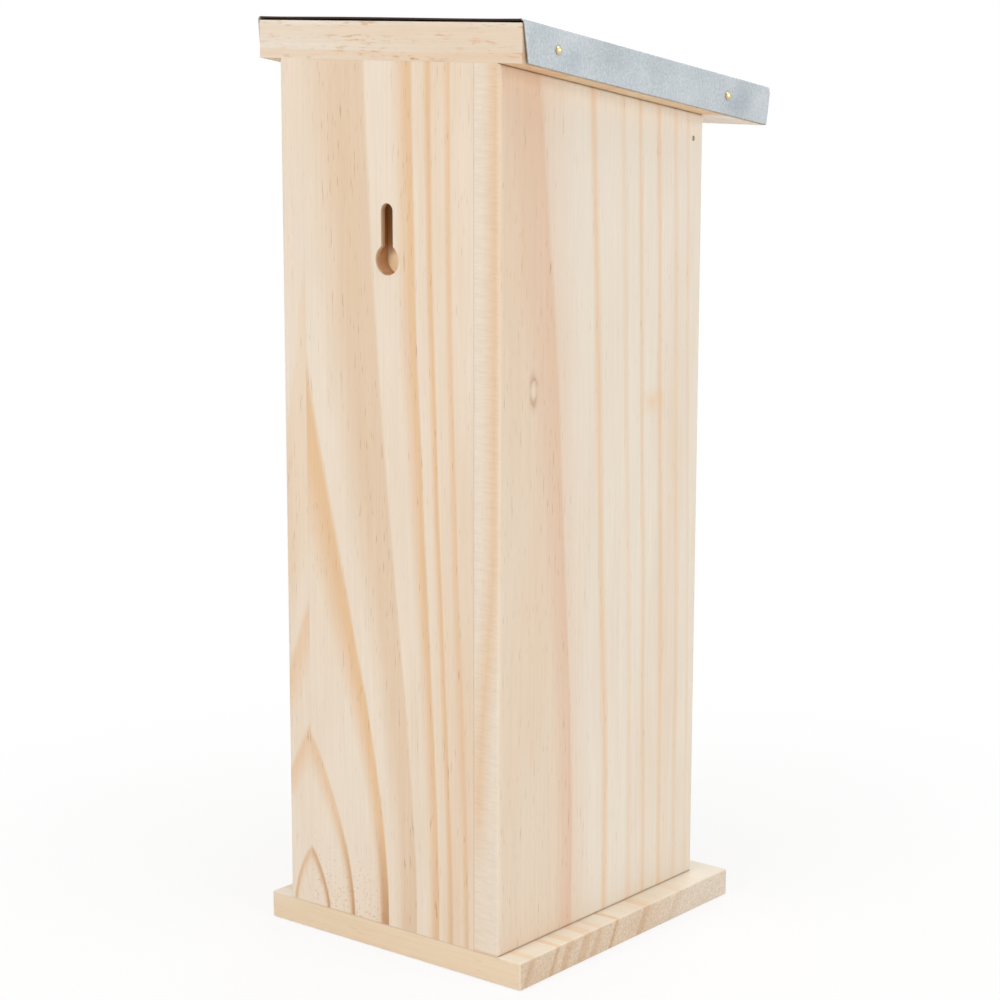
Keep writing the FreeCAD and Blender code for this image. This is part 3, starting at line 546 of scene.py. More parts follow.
def bamboo_skin(colours):
    """Dried bamboo: straw yellow with long darker streaks, a slight waxy shine."""
    material, tree, place = new_material("bamboo skin")
    streak = pattern(tree, place.outputs["Object"], mm(1.4, 45, 1.4), Detail=4.0)
    shade = blend_of(colours.bamboo, colours.bark, 0.4)
    colour = two_tone(tree, streak, 0.35, 0.75, colours.bamboo, shade)
    age = add(tree, "MapRange", [add(tree, "ObjectInfo").outputs["Random"], 0.0, 1.0, 0.0, 0.35])
    colour = add(tree, "Mix", {0: age, 6: colour, 7: colours.heart_cut}, **BLEND)
    finish_surface(tree, colour, 0.42, streak, 0.1 * MM, Specular_IOR_Level=0.45)
    return material


def bamboo_lining(colours, front):
    """Inside of a cane: smooth, straw with fine streaks along it, and painted shade, dark brown, that deepens
    further in from its front.
    """
    material, tree, place = new_material("bamboo lining")
    streak = pattern(tree, place.outputs["Object"], mm(0.9, 30, 0.9), Detail=3.0)
    colour = two_tone(tree, streak, 0.35, 0.7, colours.bamboo_flesh, colours.bamboo)
    # Painted shade, growing darker further into the cane.
    along = add(tree, "SeparateXYZ", [place.outputs["Object"]]).outputs["Y"]
    deep = add(tree, "MapRange", [along, front, front + 20 * MM, 0.25, 0.9])
    colour = add(tree, "Mix", {0: deep, 6: colour, 7: blend_of(colours.bark, BLACK, 0.5)}, **BLEND)
    finish_surface(tree, colour, 0.6, streak, 0.05 * MM, Specular_IOR_Level=0.3)
    return material


def cut_end(name, middle, outer, ring):
    """Sawn end of a round piece: rings about its own middle, from the radius in millimetres that the piece
    carries, over a colour that pales outwards, with dark pores that are drawn coarse enough to show. ring
    is the rings' step in millimetres."""
    material, tree, place = new_material(name)
    radius = add(tree, "Attribute", attribute_name="radius_mm").outputs["Fac"]
    wobble = pattern(tree, place.outputs["Object"], mm(7, 7, 7), Detail=2.0)
    wobbled = add(tree, "Math", [wobble, 1.6, radius], operation="MULTIPLY_ADD")
    turns = add(tree, "Math", [wobbled, FULL_TURN / ring], operation="MULTIPLY")
    wave = add(tree, "Math", [turns], operation="SINE")
    wood = two_tone(tree, radius, 4.0, 16.0, middle, outer)
    pore = pattern(tree, place.outputs["Object"], mm(0.7, 0.7, 0.7), Detail=3.0)
    shade = add(tree, "Math", [wave, 0.07, pore], operation="MULTIPLY_ADD")
    level = add(tree, "MapRange", [shade, 0.3, 0.75, 1.1, 0.78])
    colour = add(tree, "Mix", {0: 1.0, 6: wood, 7: level}, **TINT)
    finish_surface(tree, colour, 0.7, pore, 0.2 * MM, Specular_IOR_Level=0.25)
    return material


def drilled_wall(colours):
    """Wall of a drilled hole: darkened wood with rings left by the bit."""
    material, tree, place = new_material("drilled wood")
    scratch = pattern(tree, place.outputs["Object"], mm(6, 0.8, 6), Detail=3.0)
    colour = two_tone(tree, scratch, 0.3, 0.7, blend_of(colours.bark, CHARRED, 0.4), colours.heart_cut)
    finish_surface(tree, colour, 0.85, scratch, 0.1 * MM, Specular_IOR_Level=0.2)
    return material


def dry_bark(colours):
    """Dry bark: brown furrows along the stem, paler scaly ridges, no shine."""
    material, tree, place = new_material("dry bark")
    furrow = pattern(tree, place.outputs["Object"], mm(3.5, 16, 3.5), Detail=5.0, Roughness=0.65)
    colour = two_tone(tree, furrow, 0.4, 0.7, colours.bark, colours.bark_ridge)
    finish_surface(tree, colour, 0.9, furrow, 1.2 * MM, Specular_IOR_Level=0.15)
    return material


# Meshes

def facing_out(points, faces):
    """Faces turned so that they point outwards: flipped where the volume they enclose, summed over the
    triangles with the origin, comes out negative."""
    fan = np.array([(f[0], f[i], f[i + 1]) for f in faces for i in range(1, len(f) - 1)])
    a, b, c = (points[fan[:, i]] for i in range(3))
    volume = np.einsum("ij,ij->i", a, np.cross(b, c)).sum()
    return faces if volume > 0 else [f[::-1] for f in faces]


def new_piece(name, points, faces, body, nodes, materials, kinds=None):
    """A mesh object at the origin from points in metres, riding on a body and standing for CAD nodes."""
    mesh = bpy.data.meshes.new(name)
    mesh.from_pydata(points.tolist(), [], faces)
    for material in materials:
        mesh.materials.append(material)
    if kinds is not None:
        mesh.polygons.foreach_set("material_index", np.asarray(kinds, np.int32))
    mesh.polygons.foreach_set("use_smooth", np.full(len(mesh.polygons), True))
    mesh.update()
    piece = bpy.data.objects.new(name, mesh)
    bpy.context.scene.collection.objects.link(piece)
    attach(piece, body)
    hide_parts(*nodes)
    return piece


def round_grid(rings, spokes):
    """Quads between neighbouring rings of a surface that closes round its axis, as point numbers."""
    ring, turn = np.meshgrid(np.arange(rings - 1), np.arange(spokes), indexing="ij")
    after = (turn + 1) % spokes
    quads = np.stack((ring * spokes + turn, ring * spokes + after,
                      (ring + 1) * spokes + after, (ring + 1) * spokes + turn), axis=-1)
    return quads.reshape(-1, 4)


def fan_of(pole, ring):
    """Triangles that join a pole to a closed ring of points, as point numbers."""
    return np.stack((np.full(len(ring), pole), ring, np.roll(ring, -1)), axis=-1)


# Nest wood. A piece is its half outline, from the middle of the blind hole's end, out along the hole, over
# the front end, along the skin and in over the back end, carried round its axis.
SKIN, CUT, BORE = 0, 1, 2
AROUND = 72
# Waves of the barked skins: share of the radius, times round, radians to a millimetre along.
BRANCH_WAVES = ((0.03, 2, 0.02), (0.025, 3, 0.05), (0.015, 7, 0.12), (0.01, 13, 0.4))
LOG_WAVES = ((0.02, 2, 0.01), (0.02, 5, 0.03), (0.02, 17, 0.15), (0.012, 29, 0.35))
LOG_TURN = 30.0
FACE_STEPS = 7
FACE_RINGS = (3, 2 + FACE_STEPS)
SPREAD_STEPS = 5
BORDER_STEPS = 8
# Steps along the skin, and how far the rims are eased.
CANE_CUT = (40, 0.4 * MM)
BRANCH_CUT = (36, 0.5 * MM)
LOG_CUT = (44, 0.6 * MM)
# Cane skins, in shares of the radius across and in millimetres along.
CANE_INSET = 0.035
CANE_OVAL = 0.02
JOINT_PLACES = (12, 80)
JOINT_WIDTH = 1.5
GROOVE_DEPTH = 0.03
GROOVE_AFTER = 3.2
GROOVE_WIDTH = 1.8
MICRON = MM * MM


def half_outline(radius, bore, front, bottom, back, rim, skin_steps):
    """Radii, depths and kinds of a nest piece's half outline. The rims of hole and skin are eased by one
    step, and the skin has many steps so that its relief shows."""
    face = np.linspace(bore + rim, radius - rim, FACE_STEPS)
    skin = np.linspace(front + rim, back - rim, skin_steps)
    radii = np.concatenate((
        [bore * 0.5, bore, bore], face, np.full(skin_steps, radius), [radius - rim, radius * 0.5]))
    depths = np.concatenate(([bottom, bottom, front + rim], np.full(len(face), front), skin, [back, back]))
    kinds = np.concatenate(([BORE, BORE, CUT], np.full(len(face), CUT), np.full(skin_steps, SKIN), [CUT]))
    return radii, depths, kinds[:len(radii) - 1]


def nest_surface(node, bore, relief, skin_steps, rim, bore_end):
    """Points, faces, kinds and radii of a nest piece at its CAD node's place. relief(angle, depth) is the
    share of the radius that the skin lies inside the node's round, and fades to nothing at the hole."""
    low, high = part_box(node)
    x, z = (low.x + high.x) / 2, (low.z + high.z) / 2
    outer = (high.x - low.x) / 2
    radii, depths, kinds = half_outline(outer, bore / 2, low.y, high.y - bore_end, high.y, rim, skin_steps)
    angle = np.linspace(0, FULL_TURN, AROUND, endpoint=False)
    depth, turn = np.meshgrid(depths, angle, indexing="ij")
    share = np.clip((radii - bore / 2) / (outer - bore / 2), 0, 1)[:, None]
    reach = radii[:, None] * (1 - share * relief(turn, (depth - low.y) / MM))
    points = np.stack((x + reach * np.cos(turn), depth, z + reach * np.sin(turn)), axis=-1).reshape(-1, 3)
    ends = np.array([[x, depths[0], z], [x, depths[-1], z]])
    total = len(points)
    spokes = np.arange(AROUND)
    inner_fan = fan_of(total, spokes)[:, [0, 2, 1]]
    outer_fan = fan_of(total + 1, total - AROUND + spokes)
    faces = round_grid(len(radii), AROUND).tolist() + inner_fan.tolist() + outer_fan.tolist()
    face_kinds = np.concatenate((np.repeat(kinds, AROUND), np.full(AROUND, BORE), np.full(AROUND, CUT)))
    carried = np.concatenate((np.repeat(radii / MM, AROUND), [0.0, 0.0]))
    return np.vstack((points, ends)), faces, face_kinds, carried


def grown_skin(draw, waves):
    """A relief for a grown piece: waves round and along it, with phases drawn for the piece."""
    phases = draw.uniform(0, FULL_TURN, len(waves))

    def relief(turn, depth):
        return sum(amount * (0.5 + 0.5 * np.sin(times * turn + along * depth + phase))
                   for (amount, times, along), phase in zip(waves, phases))
    return relief


def cane_skin(draw):
    """A relief for a cane: slightly oval, with one joint that swells to the full radius and a shallow groove
    behind it, each a bell curve of the depth in millimetres."""
    phase = draw.uniform(0, FULL_TURN)
    joint = draw.uniform(*JOINT_PLACES)

    def relief(turn, depth):
        oval = CANE_OVAL * (0.5 + 0.5 * np.cos(2 * turn + phase))
        ridge = np.exp(-((depth - joint) / JOINT_WIDTH) ** 2)
        groove = np.exp(-((depth - joint - GROOVE_AFTER) / GROOVE_WIDTH) ** 2)
        return CANE_INSET + oval - CANE_INSET * ridge + GROOVE_DEPTH * groove
    return relief


def nodes_named(start):
    """Names of the CAD nodes that begin with a word, in order."""
    return sorted(node for node in frame["nodes"] if node.startswith(start))


def place_piece(node, surface, materials):
    """Puts a nest piece's surface into the scene in place of its CAD node, with each point's distance from
    the piece's own axis, in millimetres, for its cut ends."""
    points, faces, kinds, carried = surface
    piece = new_piece(
        node.replace("_", ".") + ".wood", points, facing_out(points, faces), HOUSE, [node],
        materials, kinds)
    layer = piece.data.attributes.new("radius_mm", "FLOAT", "POINT")
    layer.data.foreach_set("value", np.asarray(carried, np.float32))


class BEEHOTEL_OT_canes(bpy.types.Operator):
    """Cuts the bamboo canes: lathe surfaces with a joint, an oval skin and eased rims"""
    bl_idname = "beehotel.canes"
    bl_label = "Bamboo canes"

    def execute(self, context):
        sizes, colours = context.scene.bee_hotel_sizes, context.scene.bee_hotel_colours
        materials = [
            bamboo_skin(colours), cut_end("bamboo cut", colours.heart_cut, colours.bamboo_flesh, ring=9.0),
            bamboo_lining(colours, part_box("cane_01")[0].y)]
        draw = np.random.default_rng(NEST_SEED)
        for node in nodes_named("cane_"):
            surface = nest_surface(node, sizes.cane_bore, cane_skin(draw), *CANE_CUT, sizes.bore_end)
            place_piece(node, surface, materials)
        return {"FINISHED"}


class BEEHOTEL_OT_branches(bpy.types.Operator):
    """Cuts the branch sections: lathe surfaces with an uneven, barked skin"""
    bl_idname = "beehotel.branches"
    bl_label = "Branch sections"

    def execute(self, context):
        sizes, colours = context.scene.bee_hotel_sizes, context.scene.bee_hotel_colours
        materials = [
            dry_bark(colours), cut_end("branch cut", colours.heart_cut, colours.sap_cut, ring=1.3),
            drilled_wall(colours)]
        draw = np.random.default_rng(NEST_SEED + 1)
        for node in nodes_named("branch_"):
            skin = grown_skin(draw, BRANCH_WAVES)
            surface = nest_surface(node, sizes.branch_bore, skin, *BRANCH_CUT, sizes.bore_end)
            place_piece(node, surface, materials)
        return {"FINISHED"}


class BEEHOTEL_OT_logs(bpy.types.Operator):
    """Cuts the logs: lathe surfaces whose front is stretched between the rims of several drilled holes"""
    bl_idname = "beehotel.logs"
    bl_label = "Logs"

    def execute(self, context):
        sizes, colours = context.scene.bee_hotel_sizes, context.scene.bee_hotel_colours
        materials = [
            dry_bark(colours), cut_end("log cut", colours.heart_cut, colours.sap_cut, ring=2.1),
            drilled_wall(colours)]
        draw = np.random.default_rng(NEST_SEED + 2)
        for number, node in enumerate(nodes_named("log_")):
            skin = grown_skin(draw, LOG_WAVES)
            surface = nest_surface(node, sizes.log_bore, skin, *LOG_CUT, sizes.bore_end)
            surface = drilled_front(surface, node, sizes, math.radians(LOG_TURN * number))
            place_piece(node, surface, materials)
        return {"FINISHED"}


def drilled_front(surface, node, sizes, turn):
    """Opens the smaller holes in a log's front. Each hole has a sector of the front to itself: the front
    there is ruled from the hole's rim, at parameter 0, to the sector's border, at parameter 1. The hole's
    wall is a tube down to the blind end."""
    points, faces, kinds, carried = surface
    low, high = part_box(node)
    x, z = (low.x + high.x) / 2, (low.z + high.z) / 2
    front, bottom = low.y, high.y - sizes.bore_end
    inner, outer = FACE_RINGS
    rings = points[:-2].reshape(-1, AROUND, 3)
    front_face = slice(inner * AROUND, outer * AROUND)
    kept, kept_kinds = list(faces), list(kinds)
    del kept[front_face], kept_kinds[front_face]
    sector = AROUND // sizes.side_count
    step = FULL_TURN / AROUND
    all_points, all_carried = [points], [carried]
    count = len(points)
    for hole in range(sizes.side_count):
        middle = turn + hole * FULL_TURN / sizes.side_count
        first = round((middle - sector * step / 2) / step)
        turns = np.arange(first, first + sector + 1) % AROUND
        spoke = np.linspace(0, 1, BORDER_STEPS)[1:-1, None]
        start, end = (rings[inner, turns[i]] + (rings[outer, turns[i]] - rings[inner, turns[i]]) * spoke
                      for i in (0, -1))
        border = np.vstack((rings[inner, turns], end, rings[outer, turns[::-1]], start[::-1]))
        centre = np.array((
            x + sizes.side_ring * math.cos(middle), front, z + sizes.side_ring * math.sin(middle)))
        away = border - centre
        angle = np.arctan2(away[:, 2], away[:, 0])
        circle = np.stack((np.cos(angle), np.zeros(len(angle)), np.sin(angle)), axis=-1) * sizes.side_bore / 2
        rim = centre + circle
        spread = np.linspace(0, 1, SPREAD_STEPS)[:, None, None]
        flat = rim * (1 - spread) + border * spread
        deep = rim + np.array((0, bottom - front, 0))
        sheet = np.concatenate((deep[None], flat)).reshape(-1, 3)
        edge = len(border)
        quads = round_grid(SPREAD_STEPS + 1, edge) + count
        fan = fan_of(len(sheet), np.arange(edge))[:, [0, 2, 1]] + count
        kept += quads.tolist() + fan.tolist()
        kept_kinds += [BORE] * edge + [CUT] * (edge * (SPREAD_STEPS - 1)) + [BORE] * edge
        fresh = np.vstack((sheet, [[centre[0], bottom, centre[2]]]))
        all_points.append(fresh)
        all_carried.append(np.hypot(fresh[:, 0] - x, fresh[:, 2] - z) / MM)
        count += len(fresh)
    joined = np.vstack(all_points)
    _, first, number = np.unique(np.round(joined / MICRON), axis=0, return_index=True, return_inverse=True)
    number = number.reshape(-1)
    kept = [[int(number[i]) for i in face] for face in kept]
    return joined[first], kept, kept_kinds, np.concatenate(all_carried)[first]


WIRE_AROUND = 12
WIRE_STEPS = 3


class BEEHOTEL_OT_guard_mesh(bpy.types.Operator):
    """Welds the guard's mesh from round wires: a small circle carried along each straight wire"""
    bl_idname = "beehotel.guard_mesh"
    bl_label = "Guard mesh"

    def execute(self, context):
        sizes, colours = context.scene.bee_hotel_sizes, context.scene.bee_hotel_colours
        low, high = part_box("guard_mesh")
        inset, radius = (high.y - low.y) / 2, sizes.wire / 2
        upright_x = np.linspace(low.x + inset, high.x - inset, sizes.mesh_columns + 1)
        cross_z = np.linspace(low.z + inset, high.z - inset, sizes.mesh_rows + 1)
        near, far = low.y + radius, high.y - radius
        upright = straight_wires(
            np.stack((upright_x, np.full_like(upright_x, near), np.full_like(upright_x, low.z)), axis=-1),
            (0, 0, high.z - low.z), (1, 0, 0), (0, 1, 0), radius, 0)
        cross = straight_wires(
            np.stack((np.full_like(cross_z, low.x), np.full_like(cross_z, far), cross_z), axis=-1),
            (high.x - low.x, 0, 0), (0, 1, 0), (0, 0, 1), radius, len(upright[0]))
        points = np.vstack((upright[0], cross[0]))
        wire = plated_steel("galvanised wire", colours.wire, 2.5, 0.35)
        new_piece(
            "guard.mesh.wires", points, upright[1] + cross[1], GUARD, ["guard_mesh"],
            [wire])
        return {"FINISHED"}


def straight_wires(starts, run, side, other, radius, first):
    """Points and faces of like wires. A point is the wire's start, plus a share of the run, plus the radius
    times cosine of the turn along one side and sine along the other. Flat ends close the tubes."""
    turn = np.linspace(0, FULL_TURN, WIRE_AROUND, endpoint=False)
    circle = radius * (np.cos(turn)[:, None] * np.array(side) + np.sin(turn)[:, None] * np.array(other))
    along = np.linspace(0, 1, WIRE_STEPS)[:, None] * np.array(run)
    points = (starts[:, None, None, :] + along[None, :, None, :] + circle[None, None, :, :]).reshape(-1, 3)
    offsets = first + np.arange(len(starts)) * WIRE_STEPS * WIRE_AROUND
    quads = (offsets[:, None, None] + round_grid(WIRE_STEPS, WIRE_AROUND)[None]).reshape(-1, 4)
    near_end = (offsets[:, None] + np.arange(WIRE_AROUND)[::-1]).tolist()
    far_end = (offsets[:, None] + (WIRE_STEPS - 1) * WIRE_AROUND + np.arange(WIRE_AROUND)).tolist()
    shifted = np.vstack((np.zeros((first, 3)), points - points.mean(axis=0)))
    return points, facing_out(shifted, quads.tolist() + near_end + far_end)


# Roof sheet, in millimetres, in the roof's own slope: x across, y up the slope from the back panel's face, z
# out of the slope from the roof board's underside. The sizes are those of the middle of its thickness, and
# the reach is that of the board's underside, measured level.
ROOF_PITCH = math.radians(10.0)
ROOF_REACH = 156.0
ROOF_RUN = ROOF_REACH / math.cos(ROOF_PITCH)
FRONT_MIDDLE = ROOF_RUN + 0.6
TAB_MIDDLE = FRONT_MIDDLE + 0.7
TAB_LENGTH = 17.0
TAB_SLANT = 5.0
TAB_TOP = 13.4
SHEET_TOP = 15.1
FLANGE_END = 0.4
FLANGE_FALL = 15.0
FLANGE_RAKE = 2.0
BEND = 0.9
FRONT_BEND = -(FRONT_MIDDLE - BEND)
NAIL_UP = 7.7
SIDE_NAILS = (-19.0, 29.0 - ROOF_RUN)
FRONT_NAIL = 56.9
# Darker bluish patches of the flanges: painted shade round the nails' dents, and a darker patch midway.
# Each is a place along and up, a half length, a half height and a depth.
DENT_SHADE_AHEAD = 8.5
DENT_SHADE_BELOW = 1.5
NAIL_DENT_SHADES = tuple((nail - DENT_SHADE_AHEAD, NAIL_UP - DENT_SHADE_BELOW, 12.0, 8.0, 0.9) for nail in SIDE_NAILS)
DARKER_MIDDLE = (-74.0, 6.0, 46.0, 26.0, 0.25)
# Reach of a patch across the roof, in metres, so wide that it takes both flanges.
EITHER_SIDE = 1.0
# Points of the sheet's grids; those down the slope crowd together at the back.
ACROSS_STEPS = 45
RUN_STEPS = 56
RUN_CROWDING = 1.25
BEND_STEPS = 6
DROP_STEPS = 9
TAB_BEND_STEPS = 7
TAB_STEPS = 9
# Steps to a millimetre; points that fall on the same one are joined.
WELD_STEPS = 1000
# Unevenness: where it fades, its waves as millimetres to a radian and start, and its widths about the nails.
FLARE_FADE = 9.0
BACK_FADE = 20.0
FRONT_FADE = 15.0
EDGE_FADE = 12.0
TOP_BAND = 0.3
FLANGE_WAVE = (19.0, 1.3)
TOP_WAVE_ACROSS = (17.0, 0.7)
TOP_WAVE_ALONG = (29.0, 0.4)
TOP_SAG = 0.3
NAIL_HOLD = 8.0
DIMPLE_WIDTH = 3.0
TAB_DIMPLE = 0.4
EASED_RIM = 0.08 * MM
SHARP = math.radians(50)


class BEEHOTEL_OT_roof_sheet(bpy.types.Operator):
    """Folds the roof sheet: top, side flanges, front flange and corner tabs, uneven as folded metal is"""
    bl_idname = "beehotel.roof_sheet"
    bl_label = "Roof sheet"

    def execute(self, context):
        sizes, colours = context.scene.bee_hotel_sizes, context.scene.bee_hotel_colours
        half = (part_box("roof_sheet")[1].x - sizes.sheet / 2) / MM
        patches = [top_patch(half)]
        for side in (-1, 1):
            patches += [flange_patch(half, side), tab_patch(half, side)]
        points, faces = sew(patches)
        points = worked_metal(points, half, sizes)
        origin = np.array((0.0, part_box("back_panel")[1].y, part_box("side_panel_left")[1].z))
        cosine, sine = math.cos(ROOF_PITCH), math.sin(ROOF_PITCH)
        turn = np.array(((1, 0, 0), (0, cosine, sine), (0, -sine, cosine)))
        dark_patches = [(origin + np.array((0, along, up)) * MM @ turn, (EITHER_SIDE, long * MM, tall * MM), depth)
                for along, up, long, tall, depth in (*NAIL_DENT_SHADES, DARKER_MIDDLE)]
        zinc = galvanised_sheet(colours, dark_patches)
        bare_edge = plated_steel("bare cut edge", colours.steel, 1.0, 0.5)
        counts = [(grid.shape[0] - 1) * (grid.shape[1] - 1) for grid in patches]
        kinds = np.repeat([0] + [2] * (len(patches) - 1), counts)
        # The top's underside and cut edges take the painted shade of the gap under the sheet; the flanges'
        # take bare steel.
        sheet = new_piece(
            "roof.sheet.folded", origin + points * MM @ turn, faces, HOUSE, ["roof_sheet"],
            [zinc, gap_shaded_edge(colours), zinc, bare_edge], kinds)
        shell = sheet.modifiers.new("thickness", "SOLIDIFY")
        shell.thickness = sizes.sheet
        shell.offset = 0.0
        shell.use_even_offset = True
        shell.material_offset = 1
        shell.material_offset_rim = 1
        soft = sheet.modifiers.new("eased edges", "BEVEL")
        soft.width = EASED_RIM
        soft.segments = 2
        soft.limit_method = "ANGLE"
        soft.angle_limit = SHARP
        return {"FINISHED"}


def back_of(height):
    """How far up the slope the sheet's back end lies at a height over the roof board's underside: upright
    over the back panel's face, less a rake that grows evenly down the flange."""
    return height * math.tan(ROOF_PITCH) - FLANGE_RAKE * (1 - (height - FLANGE_END) / FLANGE_FALL)


def run_stations():
    """Shares of the way from the back end to the front bend, closer together at the back."""
    return np.linspace(0, 1, RUN_STEPS) ** RUN_CROWDING


def top_patch(half):
    """Top and front flange: a straight line down the slope, a quarter round, and a straight drop, carried
    across the roof."""
    across = np.linspace(-(half - BEND), half - BEND, ACROSS_STEPS)
    start = back_of(SHEET_TOP)
    run = start + run_stations() * (FRONT_BEND - start)
    bend = np.linspace(0, math.pi / 2, BEND_STEPS)[1:]
    drop = np.linspace(SHEET_TOP - BEND, FLANGE_END, DROP_STEPS)[1:]
    y = np.concatenate((run, FRONT_BEND - BEND * np.sin(bend), np.full(len(drop), -FRONT_MIDDLE)))
    z = np.concatenate((np.full(len(run), SHEET_TOP), SHEET_TOP - BEND + BEND * np.cos(bend), drop))
    x, along = np.meshgrid(across, np.arange(len(y)), indexing="ij")
    return np.stack((x, y[along], z[along]), axis=-1)


def flange_heights():
    """Heights of the flange's rows; one of them is the corner tab's top."""
    return np.concatenate(([SHEET_TOP - BEND], np.linspace(TAB_TOP, FLANGE_END, DROP_STEPS)))


def flange_patch(half, side):
    """One side flange: a quarter round from the top and a straight drop, carried down the slope from the
    raked back end to the front bend."""
    bend = np.linspace(0, math.pi / 2, BEND_STEPS)[:-1]
    heights = flange_heights()
    x = np.concatenate((half - BEND + BEND * np.sin(bend), np.full(len(heights), half)))
    z = np.concatenate((SHEET_TOP - BEND + BEND * np.cos(bend), heights))
    start = back_of(z)[:, None]
    y = start + run_stations()[None, :] * (FRONT_BEND - start)
    return np.stack(np.broadcast_arrays(side * x[:, None], y, z[:, None]), axis=-1)


def tab_patch(half, side):
    """One corner tab: the flange's front end carried round the corner on a quarter round and on over the
    front flange, to a slanting end."""
    heights = flange_heights()[1:]
    round_size = TAB_MIDDLE + FRONT_BEND
    bend = np.linspace(0, math.pi / 2, TAB_BEND_STEPS)
    x_bend = half - round_size + round_size * np.cos(bend)
    y_bend = FRONT_BEND - round_size * np.sin(bend)
    share = (heights - FLANGE_END) / (TAB_TOP - FLANGE_END)
    end = half - TAB_LENGTH + TAB_SLANT * share
    flat = np.linspace(0, 1, TAB_STEPS)[1:]
    x_flat = (half - round_size) + flat[None, :] * (end[:, None] - (half - round_size))
    x = np.concatenate((np.broadcast_to(x_bend, (len(heights), len(bend))), x_flat), axis=1)
    y = np.broadcast_to(np.concatenate((y_bend, np.full(len(flat), -TAB_MIDDLE))), x.shape)
    z = np.broadcast_to(heights[:, None], x.shape)
    return np.stack((side * x, y, z), axis=-1)


def sew(patches):
    """Joins grids of points into one surface, each facing away from the roof's middle."""
    points, faces = [], []
    count = 0
    for grid in patches:
        rows, columns = grid.shape[:2]
        number = count + np.arange(rows * columns).reshape(rows, columns)
        quads = np.stack(
            (number[:-1, :-1], number[1:, :-1], number[1:, 1:], number[:-1, 1:]), axis=-1).reshape(-1, 4)
        flat = grid.reshape(-1, 3)
        corner = flat[quads - count]
        normal = np.cross(corner[:, 2] - corner[:, 0], corner[:, 3] - corner[:, 1])
        outward = corner.mean(axis=1) - np.array((0.0, -ROOF_RUN / 2, 0.0))
        if np.einsum("ij,ij->", normal, outward) < 0:
            quads = quads[:, ::-1]
        points.append(flat)
        faces.append(quads)
        count += len(flat)
    joined = np.vstack(points)
    rounded = np.round(joined * WELD_STEPS)
    _, first, number = np.unique(rounded, axis=0, return_index=True, return_inverse=True)
    return joined[first], number.reshape(-1)[np.vstack(faces)].tolist()


def bell(distance, width):
    """A smooth bump of height one: the exponential of minus half the squared distance over the width."""
    return np.exp(-0.5 * (distance / width) ** 2)


def worked_metal(points, half, sizes):
    """The folded sheet's unevenness, in millimetres: waves along flanges and top, back ends that stand off
    the board, and dimples round the nails."""
    x, y, z = points.T
    flare, dimple, ripple = sizes.flare / MM, sizes.dimple / MM, sizes.ripple / MM
    side = np.sign(x)
    flange = np.clip((np.abs(x) - (half - BEND)) / BEND, 0, 1) * (y > FRONT_BEND - 0.01)
    low = np.clip((SHEET_TOP - z) / SHEET_TOP, 0, 1)
    from_back = back_of(z) - y
    out = flare * low * np.exp(-np.clip(from_back, 0, None) / FLARE_FADE)
    wave, start = FLANGE_WAVE
    out = out + ripple * low * np.sin(y / wave + start * side) * np.clip(from_back / BACK_FADE, 0, 1)
    front_fade = np.clip((y - FRONT_BEND) / FRONT_FADE, 0, 1)
    for nail in SIDE_NAILS:
        dent = dimple * bell(np.hypot(y - nail, z - NAIL_UP), DIMPLE_WIDTH)
        out = out * (1 - bell(y - nail, NAIL_HOLD)) - dent
    new_x = x + side * flange * front_fade * out
    top = np.clip((z - (SHEET_TOP - TOP_BAND)) / TOP_BAND, 0, 1)
    edge_fade = np.clip((half - np.abs(x)) / EDGE_FADE, 0, 1) * front_fade
    waves = [np.sin(place / wave + start)
             for place, (wave, start) in ((x, TOP_WAVE_ACROSS), (y, TOP_WAVE_ALONG))]
    new_z = z + top * edge_fade * ripple * (waves[0] * waves[1] - TOP_SAG)
    tab = (y < -(FRONT_MIDDLE - 0.05)).astype(float)
    dent = bell(np.hypot(np.abs(x) - FRONT_NAIL, z - NAIL_UP), DIMPLE_WIDTH)
    new_y = y + tab * dimple * TAB_DIMPLE * dent
    return np.stack((new_x, new_y, new_z), axis=-1)


# Growth lines of the boards, in millimetres from the pith.
PALE_REST = 0.16
BACK_ARCHES = line_stops((
    (6.3, 8.8, 9.3, 0.6), (18.6, 21.9, 22.6, 0.6), (34.6, 38.9, 40.4, 0.78),
    (43.5, 49.0, 54.4, 0.6, "heart_wood"), (60.8, 64.9, 66.2, 0.75)))
BACK_ARCHES += line_stops(((70.6, 72.4, 73.1, 0.8), (78.0, 80.0, 80.7, 0.65)), PALE_REST)
RIGHT_ARCHES = line_stops((
    (6.3, 8.8, 9.3, 0.5), (19.4, 22.7, 23.4, 0.55), (27.6, 31.0, 32.0, 0.5), (34.0, 37.0, 42.0, 0.24),
    (57.0, 62.0, 66.0, 0.6, "heart_wood")))
RIGHT_ARCHES += line_stops(((71.0, 72.4, 73.1, 0.55), (79.8, 81.7, 82.4, 0.55)), PALE_REST)
LEFT_STRIPES = [
    (0.5, 0.3, "heart_wood"), (42, 0.32, "heart_wood"), (57, 0.42, "heart_wood"), (60.5, 0.55, "pink_wood"),
    (66.6, 0.72, "pink_wood"), (67.3, 0.3, "pink_wood"), (80, 0.0, "pink_wood")]
LEFT_STRIPES += peak_stops((middle - half, middle, middle + half, depth) for middle, half, depth in (
    (87.5, 2.6, 0.55), (103.2, 2.2, 0.3), (113.0, 1.9, 0.48), (124.3, 2.2, 0.5), (134.7, 2.0, 0.32),
    (142.4, 1.5, 0.25)))
BASE_LINES = peak_stops(((30.0, 35.0, 36.7, 0.25),))
